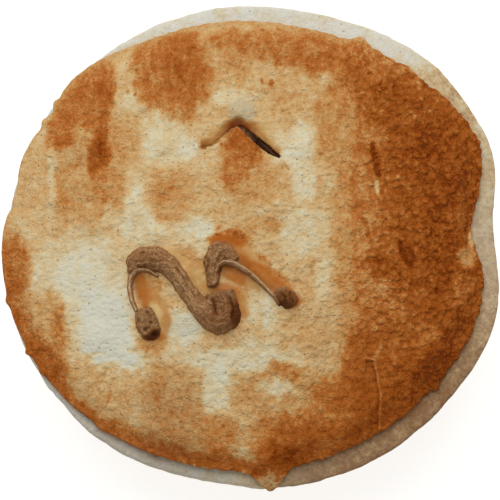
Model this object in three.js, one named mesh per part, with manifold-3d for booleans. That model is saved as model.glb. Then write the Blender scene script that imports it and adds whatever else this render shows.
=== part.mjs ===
// A single-serve savoury pie: a pale pastry case, a browned pastry lid and a wavy piped line on the lid.
// Millimetres, +Z up, origin in the middle of the foot, the side nearest the eater at -Y.
import * as THREE from 'three';
import { mergeVertices } from 'three/addons/utils/BufferGeometryUtils.js';
import Module from 'manifold-3d';

const wasm = await Module();
wasm.setup();

// Driving sizes of the case
const RIM_RADIUS = 59.7;
const RIM_TOP = 30;
const RIM_THICKNESS = 3.6;
const RIM_SAG = 0.7;
const RIM_SAG_START = 54;
const WALL_TOP_RADIUS = 53;
const FOOT_RADIUS = 45;
const FOOT_ROUND = 3;
const WALL_WAVE = 0.45;

// Driving sizes of the filled crown that carries the lid
const CROWN_HEIGHT = 5;
const CROWN_RADIUS = 57;

// Driving sizes of the lid
const LID_CENTRE = new THREE.Vector2(-1.3, 0.3);
const LID_HALF_WIDTH = 57.7;
const LID_HALF_DEPTH = 55;
const LID_THICKNESS = 3.4;
const LID_EDGE_TAPER = 0.3;
const LID_EDGE_START = 0.975;
const SEAT_GAP = 0.3;

// Unevenness of the baked crust
const BLISTER_COUNT = 110;
const BLISTER_RADIUS = 5;
const BLISTER_HEIGHT = 0.9;
const CRUST_WAVE = 0.3;
const CRUST_WAVE_LENGTH = 6.5;
const RAGGED_DEPTH = 0.7;
const RAGGED_WAVES = [9, 14, 23, 31];

// Swellings and dents of the two outlines: where round the pie, how far spread, both in degrees, and how deep
const RIM_SWELLS = [
  { at: 21, spread: 7, out: 2.1 },
  { at: 42, spread: 17, out: 4.6 },
  { at: 95, spread: 18, out: 0.5 },
  { at: 168, spread: 20, out: -0.6 },
  { at: 238, spread: 9, out: 0.6 },
  { at: 252, spread: 17, out: -1.9 },
  { at: 326, spread: 18, out: 0.9 },
  { at: 342, spread: 9, out: 1.8 },
  { at: 3, spread: 7, out: -0.8 },
];
const LID_SWELLS = [
  { at: 29, spread: 12, out: 4.6 },
  { at: 53, spread: 10, out: 1.6 },
  { at: 3.5, spread: 5.5, out: -3.2 },
  { at: 341, spread: 10, out: 1.3 },
  { at: 132, spread: 8, out: 2 },
  { at: 168, spread: 4, out: -1.2 },
  { at: 184, spread: 12, out: 0.9 },
  { at: 214, spread: 10, out: 0.6 },
  { at: 276, spread: 2.6, out: 4.8 },
];

// The steam vent: two arms that meet at the tip, with a puffed lip behind it and a sunken tongue before it
const VENT_LEFT = new THREE.Vector2(-11.9, 22.8);
const VENT_TIP = new THREE.Vector2(-3.3, 29.2);
const VENT_RIGHT = new THREE.Vector2(7.5, 19.8);
const VENT_FOLD_END = new THREE.Vector2(-1.9, 29.7);
const VENT_WIDTH = 2.8;
const VENT_FOLD_DEPTH = 1.6;
const VENT_POCKET = 8;
const VENT_LIP = { x: -2.2, y: 33.4, radius: 8, height: 1.2 };
const VENT_TONGUE = { x: -2.8, y: 25.4, radius: 4.5, height: -1 };

// Cracks where the crust has split or flaked: two ends, width and depth
const CRACKS = [
  { from: [29.6, 23.2], to: [31, 11.4], width: 1.5, depth: 1.5 },
  { from: [28.6, -29.4], to: [30.2, -37.2], width: 1.2, depth: 1.1 },
  { from: [30.1, -36.4], to: [29.6, -46], width: 1, depth: 0.9 },
  { from: [36, -0.2], to: [38.6, -6], width: 1.7, depth: 1 },
  { from: [-36.4, 24.6], to: [-35, 17.2], width: 1.1, depth: 0.8 },
];

// The piped line: its route over the lid from the near left end, and its section
const PIPED_ROUTE = [
  [-22.4, -22.4], [-24.2, -18.4], [-26.6, -13.6], [-27.7, -8.2], [-25.2, -4.2], [-21.4, -4.4],
  [-17.8, -8.2], [-14.1, -13.2], [-10.4, -18.4], [-6.8, -20.4], [-4.2, -17.8], [-5.4, -13.6],
  [-8, -9.6], [-9, -5.6], [-7.4, -2.2], [-3.8, -2.2], [0.3, -5.8], [4.8, -10.3], [8.9, -14.4],
];
const PIPED_HALF_WIDTH = 2.8;
const PIPED_HEIGHT = 2.9;
const PIPED_SINK = 1.4;
const PIPED_END_SHARE = 0.035;
const PIPED_END_BLUNT = 0.45;
const PIPED_TIGHTEST = 0.8;

// Stretches where the piped dough has slumped to a low band with one thin ridge: middle, spread, ridge side
const PIPED_SLUMPS = [
  { at: 0.15, spread: 0.055, side: -1 },
  { at: 0.88, spread: 0.065, side: 1 },
];
const SLUMP_HEIGHT = 0.7;
const SLUMP_RIDGE_HEIGHT = 1.9;
const SLUMP_RIDGE_PLACE = 0.72;
const SLUMP_RIDGE_SPREAD = 0.2;

// Facets of each piece
const CASE_FACETS = 72;
const LID_FACETS = 112;
const FOOT_STEPS = 3;
const WALL_STEPS = 5;
const RIM_STEPS = 4;
const CROWN_RINGS = 8;
const LID_TOP_RINGS = 23;
const LID_UNDER_RINGS = 6;
const LID_EDGE_STEPS = 4;
const PIPED_SIDES = 14;
const PIPED_STEPS = 64;
const MERGE_DISTANCE = 1e-4;

const { degToRad, radToDeg, euclideanModulo, smoothstep, lerp } = THREE.MathUtils;

// A repeatable draw between 0 and 1 for each whole number
function chance(number) {
  const wave = Math.sin(number * 127.1 + 311.7) * 43758.5453;
  return wave - Math.floor(wave);
}

// A bell of height 1 at the middle that fades over the spread
function bell(away, spread) {
  return Math.exp(-0.5 * (away / spread) ** 2);
}

// A rounded mound of height 1 at the middle that ends at the radius
function mound(distance, radius) {
  const share = Math.min(distance / radius, 1);
  return (1 - share * share) ** 2;
}

// How far the named swellings move an outline at a turn in degrees
function swellAt(swells, turn) {
  return swells.reduce((total, swell) => {
    const away = euclideanModulo(turn - swell.at + 180, 360) - 180;
    return total + swell.out * bell(away, swell.spread);
  }, 0);
}

// Fine raggedness of the torn and crumbled lid edge at a turn in degrees
function raggedAt(turn) {
  const waves = RAGGED_WAVES.map((count, index) => Math.sin(degToRad(count * turn) + 2.4 * index));
  return RAGGED_DEPTH * waves.reduce((total, wave) => total + wave, 0) / RAGGED_WAVES.length;
}

// Height of the filled crown under the lid
function crownAt(x, y) {
  const share = Math.min(Math.hypot(x, y) / CROWN_RADIUS, 1);
  return RIM_TOP + CROWN_HEIGHT * (1 - share * share) ** 1.5;
}

// Blisters spread over the crust by the golden angle, each with its own size
const GOLDEN_TURN = Math.PI * (3 - Math.sqrt(5));
const blisters = Array.from({ length: BLISTER_COUNT }, (unused, index) => {
  const reach = LID_HALF_DEPTH * Math.sqrt((index + 0.5) / BLISTER_COUNT);
  return {
    x: reach * Math.cos(index * GOLDEN_TURN),
    y: reach * Math.sin(index * GOLDEN_TURN),
    radius: BLISTER_RADIUS * lerp(0.7, 1.4, chance(index)),
    height: BLISTER_HEIGHT * chance(index + BLISTER_COUNT),
  };
});

// Relief of the lid's top: slow waves, blisters, and the lip and tongue of the vent
function reliefAt(x, y) {
  const slow = Math.sin(x / CRUST_WAVE_LENGTH + 0.8) * Math.sin(y / CRUST_WAVE_LENGTH - 0.5);
  return [...blisters, VENT_LIP, VENT_TONGUE].reduce((total, bump) => {
    return total + bump.height * mound(Math.hypot(x - bump.x, y - bump.y), bump.radius);
  }, CRUST_WAVE * slow);
}

// Height of the lid's top away from its edge
function lidTopAt(x, y) {
  return crownAt(x, y) + SEAT_GAP + LID_THICKNESS + reliefAt(x, y);
}

// Moves every vertex of a geometry to the place that a rule gives for it
function mould(geometry, rule) {
  const places = geometry.getAttribute('position');
  const vertex = new THREE.Vector3();
  for (let index = 0; index < places.count; index += 1) {
    vertex.fromBufferAttribute(places, index);
    places.setXYZ(index, ...rule(vertex).toArray());
  }
  return geometry;
}

// A closed solid from a geometry, with shared vertices merged and collapsed triangles dropped
function solidOf(geometry) {
  const bare = geometry.clone();
  bare.deleteAttribute('normal');
  bare.deleteAttribute('uv');
  const merged = mergeVertices(bare, MERGE_DISTANCE);
  const corners = merged.getIndex().array;
  const kept = [];
  for (let start = 0; start < corners.length; start += 3) {
    const triangle = [corners[start], corners[start + 1], corners[start + 2]];
    if (new Set(triangle).size === 3) {
      kept.push(...triangle);
    }
  }
  return new wasm.Manifold(new wasm.Mesh({
    numProp: 3,
    vertProperties: new Float32Array(merged.getAttribute('position').array),
    triVerts: new Uint32Array(kept),
  }));
}

// A named mesh of a solid
function meshOf(solid, name, material) {
  const { vertProperties, triVerts } = solid.getMesh();
  const geometry = new THREE.BufferGeometry();
  geometry.setAttribute('position', new THREE.BufferAttribute(new Float32Array(vertProperties), 3));
  geometry.setIndex(new THREE.BufferAttribute(new Uint32Array(triVerts), 1));
  geometry.computeVertexNormals();
  const mesh = new THREE.Mesh(geometry, material);
  mesh.name = name;
  return mesh;
}

// A leaf-shaped blade that cuts a slit between two points, from a floor height up to clear of the crust
function slitBlade(from, to, width, floor) {
  const length = from.distanceTo(to);
  const leaf = new THREE.Shape();
  leaf.moveTo(0, 0);
  leaf.quadraticCurveTo(length / 2, -width, length, 0);
  leaf.quadraticCurveTo(length / 2, width, 0, 0);
  const clear = RIM_TOP + CROWN_HEIGHT + 3 * LID_THICKNESS;
  const blade = new THREE.ExtrudeGeometry(leaf, { depth: clear - floor, bevelEnabled: false, curveSegments: 6 });
  blade.rotateZ(Math.atan2(to.y - from.y, to.x - from.x));
  blade.translate(from.x, from.y, floor);
  return solidOf(blade);
}

// The case's section from the middle of the foot, up the sloping wall, round the rim and in under the lid
function caseSection() {
  const points = [new THREE.Vector2(0, 0)];
  for (let step = 0; step <= FOOT_STEPS; step += 1) {
    const turn = (step / FOOT_STEPS) * Math.PI / 2;
    const inset = FOOT_ROUND * (1 - Math.sin(turn));
    points.push(new THREE.Vector2(FOOT_RADIUS - inset, FOOT_ROUND * (1 - Math.cos(turn))));
  }
  const wallTop = RIM_TOP - RIM_THICKNESS;
  for (let step = 1; step <= WALL_STEPS; step += 1) {
    const share = step / WALL_STEPS;
    points.push(new THREE.Vector2(lerp(FOOT_RADIUS, WALL_TOP_RADIUS, share), lerp(FOOT_ROUND, wallTop, share)));
  }
  const roll = RIM_THICKNESS / 2;
  for (let step = 0; step <= RIM_STEPS; step += 1) {
    const turn = (step / RIM_STEPS - 0.5) * Math.PI;
    points.push(new THREE.Vector2(
      RIM_RADIUS - roll + roll * Math.cos(turn),
      RIM_TOP - roll + roll * Math.sin(turn),
    ));
  }
  for (let ring = CROWN_RINGS - 1; ring >= 0; ring -= 1) {
    const radius = (RIM_RADIUS - roll) * (ring / CROWN_RINGS);
    points.push(new THREE.Vector2(radius, crownAt(radius, 0)));
  }
  return points;
}

// The case: the section turned round, then made uneven by hand-pressed waves and the rim's own outline
function buildCase() {
  const wallTop = RIM_TOP - RIM_THICKNESS;
  const turned = new THREE.LatheGeometry(caseSection(), CASE_FACETS).rotateX(Math.PI / 2);
  const moulded = mould(turned, (vertex) => {
    const angle = Math.atan2(vertex.y, vertex.x);
    const turn = radToDeg(angle);
    const flared = smoothstep(vertex.z, wallTop - RIM_THICKNESS, wallTop + RIM_THICKNESS / 2);
    const stretch = 1 + flared * swellAt(RIM_SWELLS, turn) / RIM_RADIUS;
    const belly = Math.sin(Math.PI * Math.min(vertex.z / wallTop, 1));
    const pressed = WALL_WAVE * belly * (Math.sin(7 * angle) + Math.sin(11 * angle + vertex.z / 5));
    const radius = Math.hypot(vertex.x, vertex.y);
    const reach = radius * stretch + (radius > FOOT_RADIUS ? pressed : 0);
    const sag = RIM_SAG * smoothstep(radius, RIM_SAG_START, RIM_RADIUS) * flared * (0.5 + 0.5 * Math.sin(3 * angle));
    const x = reach * Math.cos(angle);
    const y = reach * Math.sin(angle);
    const height = vertex.z >= RIM_TOP ? crownAt(x, y) : vertex.z;
    return vertex.set(x, y, height - sag);
  });
  const middle = VENT_TIP.clone().lerp(VENT_RIGHT, 0.5);
  const pocketFloor = crownAt(middle.x, middle.y) - VENT_POCKET;
  return solidOf(moulded).subtract(slitBlade(VENT_TIP, VENT_RIGHT, VENT_WIDTH, pocketFloor));
}

// Half of a flat coin with a rounded edge: reach from 0 to 1, and 0 below to 1 above
function coinSection() {
  const points = [];
  for (let ring = 0; ring <= LID_UNDER_RINGS; ring += 1) {
    points.push(new THREE.Vector2(LID_EDGE_START * ring / LID_UNDER_RINGS, 0));
  }
  for (let step = 1; step < LID_EDGE_STEPS; step += 1) {
    const turn = (step / LID_EDGE_STEPS - 0.5) * Math.PI;
    points.push(new THREE.Vector2(lerp(LID_EDGE_START, 1, Math.cos(turn)), 0.5 + 0.5 * Math.sin(turn)));
  }
  for (let ring = LID_TOP_RINGS; ring >= 0; ring -= 1) {
    points.push(new THREE.Vector2(LID_EDGE_START * ring / LID_TOP_RINGS, 1));
  }
  return points;
}

// The uncut lid: a coin moulded to the oval ragged outline, the crown below and the crust's relief above
function lidGeometry() {
  const coin = new THREE.LatheGeometry(coinSection(), LID_FACETS).rotateX(Math.PI / 2);
  return mould(coin, (vertex) => {
    const angle = Math.atan2(vertex.y, vertex.x);
    const turn = radToDeg(angle);
    const share = Math.hypot(vertex.x, vertex.y);
    const layer = vertex.z;
    const oval = 1 / Math.hypot(Math.cos(angle) / LID_HALF_WIDTH, Math.sin(angle) / LID_HALF_DEPTH);
    const reach = share * oval + share ** 6 * (swellAt(LID_SWELLS, turn) + raggedAt(turn));
    const x = LID_CENTRE.x + reach * Math.cos(angle);
    const y = LID_CENTRE.y + reach * Math.sin(angle);
    const thickness = LID_THICKNESS * (1 - LID_EDGE_TAPER * share ** 8);
    const relief = reliefAt(x, y) * (1 - 0.5 * share ** 8);
    return vertex.set(x, y, crownAt(x, y) + SEAT_GAP + layer * (thickness + relief));
  });
}

// The lid: the open vent arm cut through, the folded arm and the cracks cut part of the way
function buildLid(geometry) {
  const under = RIM_TOP - 1;
  const slits = [
    slitBlade(VENT_TIP, VENT_RIGHT, VENT_WIDTH, under),
    ...[{ from: VENT_LEFT.toArray(), to: VENT_FOLD_END.toArray(), width: VENT_WIDTH, depth: VENT_FOLD_DEPTH }, ...CRACKS]
      .map(({ from, to, width, depth }) => {
        const start = new THREE.Vector2(...from);
        const end = new THREE.Vector2(...to);
        const middle = start.clone().lerp(end, 0.5);
        return slitBlade(start, end, width, lidTopAt(middle.x, middle.y) - depth);
      }),
  ];
  return solidOf(geometry).subtract(slits.reduce((joined, slit) => joined.add(slit)));
}

// Height of the piped dough above the crust: a full round bead, or a low band with a thin ridge where it slumped
function pipedHeightAt(share, across) {
  return PIPED_SLUMPS.reduce((height, slump) => {
    const slumped = bell(share - slump.at, slump.spread);
    const ridge = SLUMP_RIDGE_HEIGHT * bell(across - slump.side * SLUMP_RIDGE_PLACE, SLUMP_RIDGE_SPREAD);
    return lerp(height, SLUMP_HEIGHT + ridge, slumped);
  }, PIPED_HEIGHT);
}

// The piped line: a closed bar laid along its route on the crust and cut to seat just clear of the lid
function buildPiped(geometry) {
  const route = new THREE.CatmullRomCurve3(PIPED_ROUTE.map(([x, y]) => new THREE.Vector3(x, y, 0)));
  const length = route.getLength();
  const bar = new THREE.CylinderGeometry(1, 1, 1, PIPED_SIDES, PIPED_STEPS);
  const moulded = mould(bar, (vertex) => {
    const share = vertex.y + 0.5;
    const across = vertex.x;
    const point = route.getPointAt(share);
    const along = route.getTangentAt(share);
    const before = route.getTangentAt(Math.max(share - 0.5 / PIPED_STEPS, 0));
    const after = route.getTangentAt(Math.min(share + 0.5 / PIPED_STEPS, 1));
    const bend = (before.y * after.x - before.x * after.y) * PIPED_STEPS / length;
    const room = across * bend > 0 ? PIPED_TIGHTEST / Math.abs(bend) : Infinity;
    const fromEnd = Math.min(share, 1 - share, PIPED_END_SHARE) / PIPED_END_SHARE;
    const blunt = lerp(PIPED_END_BLUNT, 1, Math.sqrt(1 - (1 - fromEnd) ** 2));
    const offset = across * Math.min(PIPED_HALF_WIDTH * blunt, room);
    const x = point.x + along.y * offset;
    const y = point.y - along.x * offset;
    const rise = vertex.z > 0 ? pipedHeightAt(share, across) * blunt : PIPED_SINK;
    return vertex.set(x, y, lidTopAt(x, y) + vertex.z * rise);
  });
  return solidOf(moulded).subtract(solidOf(geometry.clone().translate(0, 0, SEAT_GAP)));
}

const caseCrust = new THREE.MeshStandardMaterial({ color: 0xd2c8b2, roughness: 0.85, metalness: 0 });
const lidCrust = new THREE.MeshStandardMaterial({ color: 0xb07a42, roughness: 0.6, metalness: 0 });
const pipedDough = new THREE.MeshStandardMaterial({ color: 0x7d5838, roughness: 0.7, metalness: 0 });

const uncutLid = lidGeometry();
const pie = new THREE.Group();
pie.add(meshOf(buildCase(), 'pastry_case', caseCrust));
pie.add(meshOf(buildLid(uncutLid), 'pastry_lid', lidCrust));
pie.add(meshOf(buildPiped(uncutLid), 'piped_zigzag', pipedDough));

export default pie;
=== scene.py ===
"""Looks of a single-serve chicken pie: browned lid, pale case and piped line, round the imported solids.

Shapes are worked out in millimetres, +Z up, with the near side at -Y, and become metres where a mesh is made.
"""

import logging
import math
from collections.abc import Sequence
from dataclasses import dataclass
from enum import Enum, IntEnum
from functools import reduce

import bpy
import numpy as np
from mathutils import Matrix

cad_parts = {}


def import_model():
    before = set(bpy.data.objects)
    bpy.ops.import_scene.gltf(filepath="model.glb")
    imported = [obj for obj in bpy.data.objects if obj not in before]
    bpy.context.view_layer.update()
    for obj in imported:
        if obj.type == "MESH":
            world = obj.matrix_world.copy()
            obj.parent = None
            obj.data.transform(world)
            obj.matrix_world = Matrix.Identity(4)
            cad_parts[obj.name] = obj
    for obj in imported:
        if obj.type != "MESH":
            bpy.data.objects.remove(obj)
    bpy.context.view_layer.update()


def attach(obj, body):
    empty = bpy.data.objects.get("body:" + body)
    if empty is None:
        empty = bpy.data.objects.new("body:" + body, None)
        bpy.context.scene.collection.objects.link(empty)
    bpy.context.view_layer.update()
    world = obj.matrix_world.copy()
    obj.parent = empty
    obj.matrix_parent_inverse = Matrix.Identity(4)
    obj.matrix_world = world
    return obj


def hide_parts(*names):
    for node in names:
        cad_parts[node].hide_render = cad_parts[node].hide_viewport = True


Array = np.ndarray
Piece = bpy.types.Object
Socket = bpy.types.NodeSocket
Tone = tuple[float, float, float]
Ramp = tuple[tuple[float, Tone], ...]
Feed = Socket | float | Sequence[float]
Point = tuple[float, float]
Line = tuple[Point, ...]
Span = tuple[float, float]

# Metres in a millimetre
MM = 0.001
# Radius in millimetres of the circle on which noise round the pie is read
NOISE_RING = 60.0
# Linear light that the surface's sheen adds to a tone
SHEEN = 0.004
# The record's body, which the pieces are set on, and the log
BODY = "root"
LOG = logging.getLogger("pie")


class Side(Enum):
    """The side of a line, seen along its run, on which a flake or ridge lies."""

    LEFT = 1
    RIGHT = -1


class Dough(Enum):
    """Surface of a run of piped dough: rough bead or thin pale ridge."""

    ROUGH = "rough"
    RIDGE = "ridge"


class Slot(Enum):
    """The record's material slots."""

    CASE = "case_crust"
    LID = "lid_crust"
    PIPED = "piped_dough"


class Seed(IntEnum):
    """Seeds of the noise, one for each pattern."""

    PATCH_WARP = 3
    FINE_WARP = 5
    DRIFT = 8
    OUTLINE = 11
    FRINGE = 12
    SEAMS = 13
    PALE_CRUMB = 14
    COBBLES = 15
    PUFFS = 16
    EDGE_CRUMBLE = 17
    RIDGES = 18
    VENT_EDGE = 21
    BEAD_LUMPS = 31
    BEAD_CRUMB = 32
    FIBRES = 33
    BEAD_WAVER = 34
    TORN_END = 35
    CASE_LUMPS = 41
    CASE_FLOUR = 42
    TOAST = 43
    SMUDGE = 44


def ease(low: float, high: float, value: Array) -> Array:
    """Rises smoothly from 0 at low to 1 at high, as 3f² - 2f³ of the clipped fraction f.

    Args:
        low: Value where the rise starts.
        high: Value where the rise ends.
        value: Values to ease.

    Returns:
        The eased fractions.
    """
    part = np.clip((value - low) / (high - low), 0.0, 1.0)
    return part * part * (3.0 - 2.0 * part)


def bell(away: Array, spread: float) -> Array:
    """Bell curve of height 1: exp of minus half the square of away over spread."""
    return np.exp(-0.5 * np.square(away / spread))


def mound(distance: Array, radius: Array | float) -> Array:
    """Rounded mound of height 1 that ends at the radius: the square of 1 minus the squared share."""
    return np.square(1.0 - np.square(np.minimum(distance / radius, 1.0)))


def chance(number: Array) -> Array:
    """Repeatable draw between 0 and 1 for each whole number: the fraction of a large sine."""
    wave = np.sin(number * 127.1 + 311.7) * 43758.5453
    return wave - np.floor(wave)


def linear(tone: Tone, gain: float = 1.0) -> tuple[float, float, float, float]:
    """Turns a display tone of 0 to 255 into a linear colour, less the light that the surface's sheen adds.

    Args:
        tone: Red, green and blue as displayed.
        gain: Factor on the linear values, which allows for the strength of the light.

    Returns:
        Linear red, green, blue and an alpha of 1.
    """
    parts = np.array(tone) / 255.0
    low = parts / 12.92
    high = ((parts + 0.055) / 1.055) ** 2.4
    shown = np.where(parts <= 0.04045, low, high)
    red, green, blue = gain * np.maximum(shown - SHEEN, 0.4 * shown)
    return float(red), float(green), float(blue), 1.0


class Grain:
    """Seeded smooth noise over the plane, between about -1 and 1."""

    CELLS = 256
    LAYER_SHIFT = (17.3, -9.1)

    def __init__(self, seed: Seed) -> None:
        """Draws the lattice of slopes.

        Args:
            seed: Seed of the draws.
        """
        draw = np.random.default_rng(seed.value)
        turns = draw.random((self.CELLS, self.CELLS)) * 2.0 * math.pi
        self.slope_x = np.cos(turns)
        self.slope_y = np.sin(turns)

    def at(self, x: Array, y: Array, size: float, stretch: float = 1.0) -> Array:
        """Gradient noise: the slopes at a cell's four corners, blended by fifth-degree easing.

        Args:
            x: Places across.
            y: Places up.
            size: Cell size along y.
            stretch: Cell size along x as a multiple of size.

        Returns:
            Noise at the places.
        """
        across, up = x / (size * stretch), y / size
        left, low = np.floor(across).astype(int), np.floor(up).astype(int)
        part_x, part_y = across - left, up - low
        blend_x, blend_y = (part ** 3 * (part * (6.0 * part - 15.0) + 10.0)
                            for part in (part_x, part_y))

        def corner(step_x: int, step_y: int) -> Array:
            """Slope of one corner times the way from it.

            Args:
                step_x: Cells across to the corner, 0 or 1.
                step_y: Cells up to it, 0 or 1.

            Returns:
                Products at the places.
            """
            column, row = (left + step_x) % self.CELLS, (low + step_y) % self.CELLS
            across_slope, up_slope = self.slope_x[column, row], self.slope_y[column, row]
            return across_slope * (part_x - step_x) + up_slope * (part_y - step_y)

        near = corner(0, 0) * (1.0 - blend_x) + corner(1, 0) * blend_x
        far = corner(0, 1) * (1.0 - blend_x) + corner(1, 1) * blend_x
        return 1.5 * (near * (1.0 - blend_y) + far * blend_y)

    def layered(self, x: Array, y: Array, size: float, layers: int = 4, fall: float = 0.55,
                stretch: float = 1.0) -> Array:
        """Sum of noise layers, each of half the size and a falling weight.

        Args:
            x: Places across.
            y: Places up.
            size: Cell size of the coarsest layer.
            layers: Number of layers.
            fall: Weight of a layer over that of the one before.
            stretch: Cell size along x as a multiple of that along y.

        Returns:
            Noise at the places.
        """
        total = np.zeros(np.broadcast(x, y).shape)
        weights = 0.0
        for layer in range(layers):
            weight = fall ** layer
            moved_x, moved_y = (place + layer * shift for place, shift in zip((x, y), self.LAYER_SHIFT))
            total += weight * self.at(moved_x, moved_y, size / 2 ** layer, stretch)
            weights += weight * weight
        return total / math.sqrt(weights)

    def lumps(self, x: Array, y: Array, size: float, layers: int = 2, stretch: float = 1.0) -> Array:
        """Rounded lumps with narrow seams: layered noise without its sign, its floor rounded off."""
        return np.sqrt(np.square(self.layered(x, y, size, layers, 0.5, stretch)) + 0.015) - 0.08


@dataclass(frozen=True)
class Swell:
    """One swelling or dent of an outline: place and spread in degrees, and how far out in millimetres."""

    at: float
    spread: float
    out: float


def swell_sum(swells: Sequence[Swell], turn: Array) -> Array:
    """Adds up an outline's swellings as bells round the turn.

    Args:
        swells: The swellings.
        turn: Turns in degrees.

    Returns:
        How far out the outline moves.
    """
    total = np.zeros_like(turn)
    for swell in swells:
        total += swell.out * bell((turn - swell.at + 180.0) % 360.0 - 180.0, swell.spread)
    return total


@dataclass(frozen=True)
class Oval:
    """An oval place on the crust: its middle and half sizes."""

    x: float
    y: float
    half_x: float
    half_y: float

    def far(self, x: Array, y: Array) -> Array:
        """Distance from the middle as a share of the half sizes."""
        return np.hypot((x - self.x) / self.half_x, (y - self.y) / self.half_y)


@dataclass(frozen=True)
class Track:
    """A line of straight stretches over the crust."""

    points: Line

    def gone(self) -> Array:
        """Length of the line up to each of its points."""
        return np.concatenate(([0.0], np.cumsum(np.hypot(*np.diff(np.array(self.points), axis=0).T))))

    def shares(self) -> Array:
        """Share of the line's length at each of its points."""
        return self.gone() / self.gone()[-1]

    def measure(self, x: Array, y: Array) -> tuple[Array, Array, Array]:
        """Nearest place on the line, by the clipped foot of the perpendicular on each stretch.

        Args:
            x: Places across.
            y: Places up.

        Returns:
            Distance to the line, side of it (1 left, -1 right) and share of its length.
        """
        corners = np.array(self.points)
        runs = np.diff(corners, axis=0)
        lengths = np.hypot(runs[:, 0], runs[:, 1])
        done = self.shares()
        nearest = np.full(x.shape, np.inf)
        side = np.ones(x.shape)
        share = np.zeros(x.shape)
        for index, (run_x, run_y) in enumerate(runs):
            from_x, from_y = x - corners[index, 0], y - corners[index, 1]
            part = np.clip((from_x * run_x + from_y * run_y) / lengths[index] ** 2, 0.0, 1.0)
            far = np.hypot(from_x - part * run_x, from_y - part * run_y)
            closer = far < nearest
            nearest = np.where(closer, far, nearest)
            side = np.where(closer, np.sign(run_x * from_y - run_y * from_x), side)
            share = np.where(closer, done[index] + part * (done[index + 1] - done[index]), share)
        return nearest, side, share


@dataclass(frozen=True)
class Crack:
    """A split in the crust, with an optional flaked-off side and a thin raised lip on the other."""

    points: Line
    width: float
    depth: float
    sunk: float = 0.0
    reach: float = 4.0
    sunk_side: Side = Side.LEFT
    lip: float = 0.0
    browned: float = 0.2
    pale: float = 0.0

    def relief(self, x: Array, y: Array) -> Array:
        """Groove as a bell across the line, a lip beside it, and a sunken side rising over the reach.

        Args:
            x: Places across.
            y: Places up.

        Returns:
            Height to add.
        """
        far, side, share = Track(self.points).measure(x, y)
        ends = ease(0.0, 0.15, share) * ease(0.0, 0.15, 1.0 - share)
        flaked = side == self.sunk_side.value
        groove = -self.depth * bell(far, self.width)
        flake = np.where(flaked, -self.sunk * (1.0 - ease(0.0, self.reach, far)), 0.0)
        ridge = np.where(flaked, 0.0, self.lip * bell(far - self.width, self.width))
        return ends * (groove + flake + ridge)

    def browning(self, x: Array, y: Array) -> Array:
        """Extra browning, partly painted light, darker down a groove and paler along a raised line: a bell in
        the groove, less one on the lip, both fading at the line's ends.

        Args:
            x: Places across.
            y: Places up.

        Returns:
            Browning to add.
        """
        far, side, share = Track(self.points).measure(x, y)
        ends = ease(0.0, 0.1, share) * ease(0.0, 0.1, 1.0 - share)
        on_lip = np.where(side == self.sunk_side.value, 0.0, bell(far - 1.5 * self.width, self.width))
        return ends * (self.browned * bell(far, 1.2 * self.width) - self.pale * on_lip)


@dataclass(frozen=True)
class Blot:
    """A patch of browning: place, half sizes, level 0 to 1, softness, turn in degrees and squareness."""

    x: float
    y: float
    half_x: float
    half_y: float
    level: float
    soft: float = 0.5
    turn: float = 0.0
    corner: float = 2.0

    def cover(self, x: Array, y: Array) -> Array:
        """Share of the patch's level at places: 1 inside a rounded oval or box, easing to 0 across its edge.

        Args:
            x: Places across.
            y: Places up.

        Returns:
            Shares from 0 to 1.
        """
        cosine, sine = math.cos(math.radians(self.turn)), math.sin(math.radians(self.turn))
        away_x, away_y = x - self.x, y - self.y
        along = np.abs(cosine * away_x + sine * away_y) / self.half_x
        across = np.abs(cosine * away_y - sine * away_x) / self.half_y
        far = (along ** self.corner + across ** self.corner) ** (1.0 / self.corner)
        return 1.0 - ease(1.0 - self.soft, 1.0 + self.soft, far)


def lay_over(level: Array, blots: Sequence[Blot], x: Array, y: Array) -> Array:
    """Lays patches over a level in their order, each moving it towards its own level by its cover.

    Args:
        level: Level at the places before.
        blots: The patches.
        x: Places across.
        y: Places up.

    Returns:
        Level at the places with the patches on it.
    """
    for blot in blots:
        level = level + (blot.level - level) * blot.cover(x, y)
    return level


# Browning of the lid, with painted shadows under the piped line, laid on in this order from its broad tone to
# its darkest spots
BROAD_TONES = (
    Blot(0, 35.5, 18, 7.5, 0.27),
    Blot(-39.5, 13.5, 11, 12, 0.3),
    Blot(16.5, -20.5, 8.5, 14.5, 0.3),
    Blot(-21.5, 24.5, 7.5, 6.5, 0.13, 0.4),
    Blot(-26, 6.5, 8.5, 8.5, 0.13, 0.4),
    Blot(-13, 0.5, 6, 4, 0.15, 0.4),
    Blot(11, 26, 5, 7.5, 0.12, 0.3, corner=4),
    Blot(13, 14, 2.5, 6, 0.12, 0.3, corner=4),
    Blot(12.5, 1.5, 5.5, 5.5, 0.14),
    Blot(18.5, -11.5, 3, 7.5, 0.14, 0.3, corner=4),
    Blot(3.5, -17.5, 4, 5.5, 0.13, 0.4),
    Blot(-2.5, -28.5, 15, 3.5, 0.12, 0.4),
    Blot(-8, -35.5, 3, 7, 0.12, 0.3, corner=4),
    Blot(-41.5, -12, 14.5, 13.5, 0.14, 0.35),
    Blot(-28, -30.5, 12, 5.5, 0.16),
    Blot(-4.5, 35, 5.5, 2.5, 0.14, 0.4),
    Blot(-16, -22, 5, 5, 0.12, 0.4),
    Blot(-28, 34.5, 3, 3.5, 0.14, 0.4),
    Blot(9, 33.5, 3.5, 6, 0.34, 0.6),
    Blot(17.5, -17.5, 4, 3, 0.26, 0.6),
)
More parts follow.
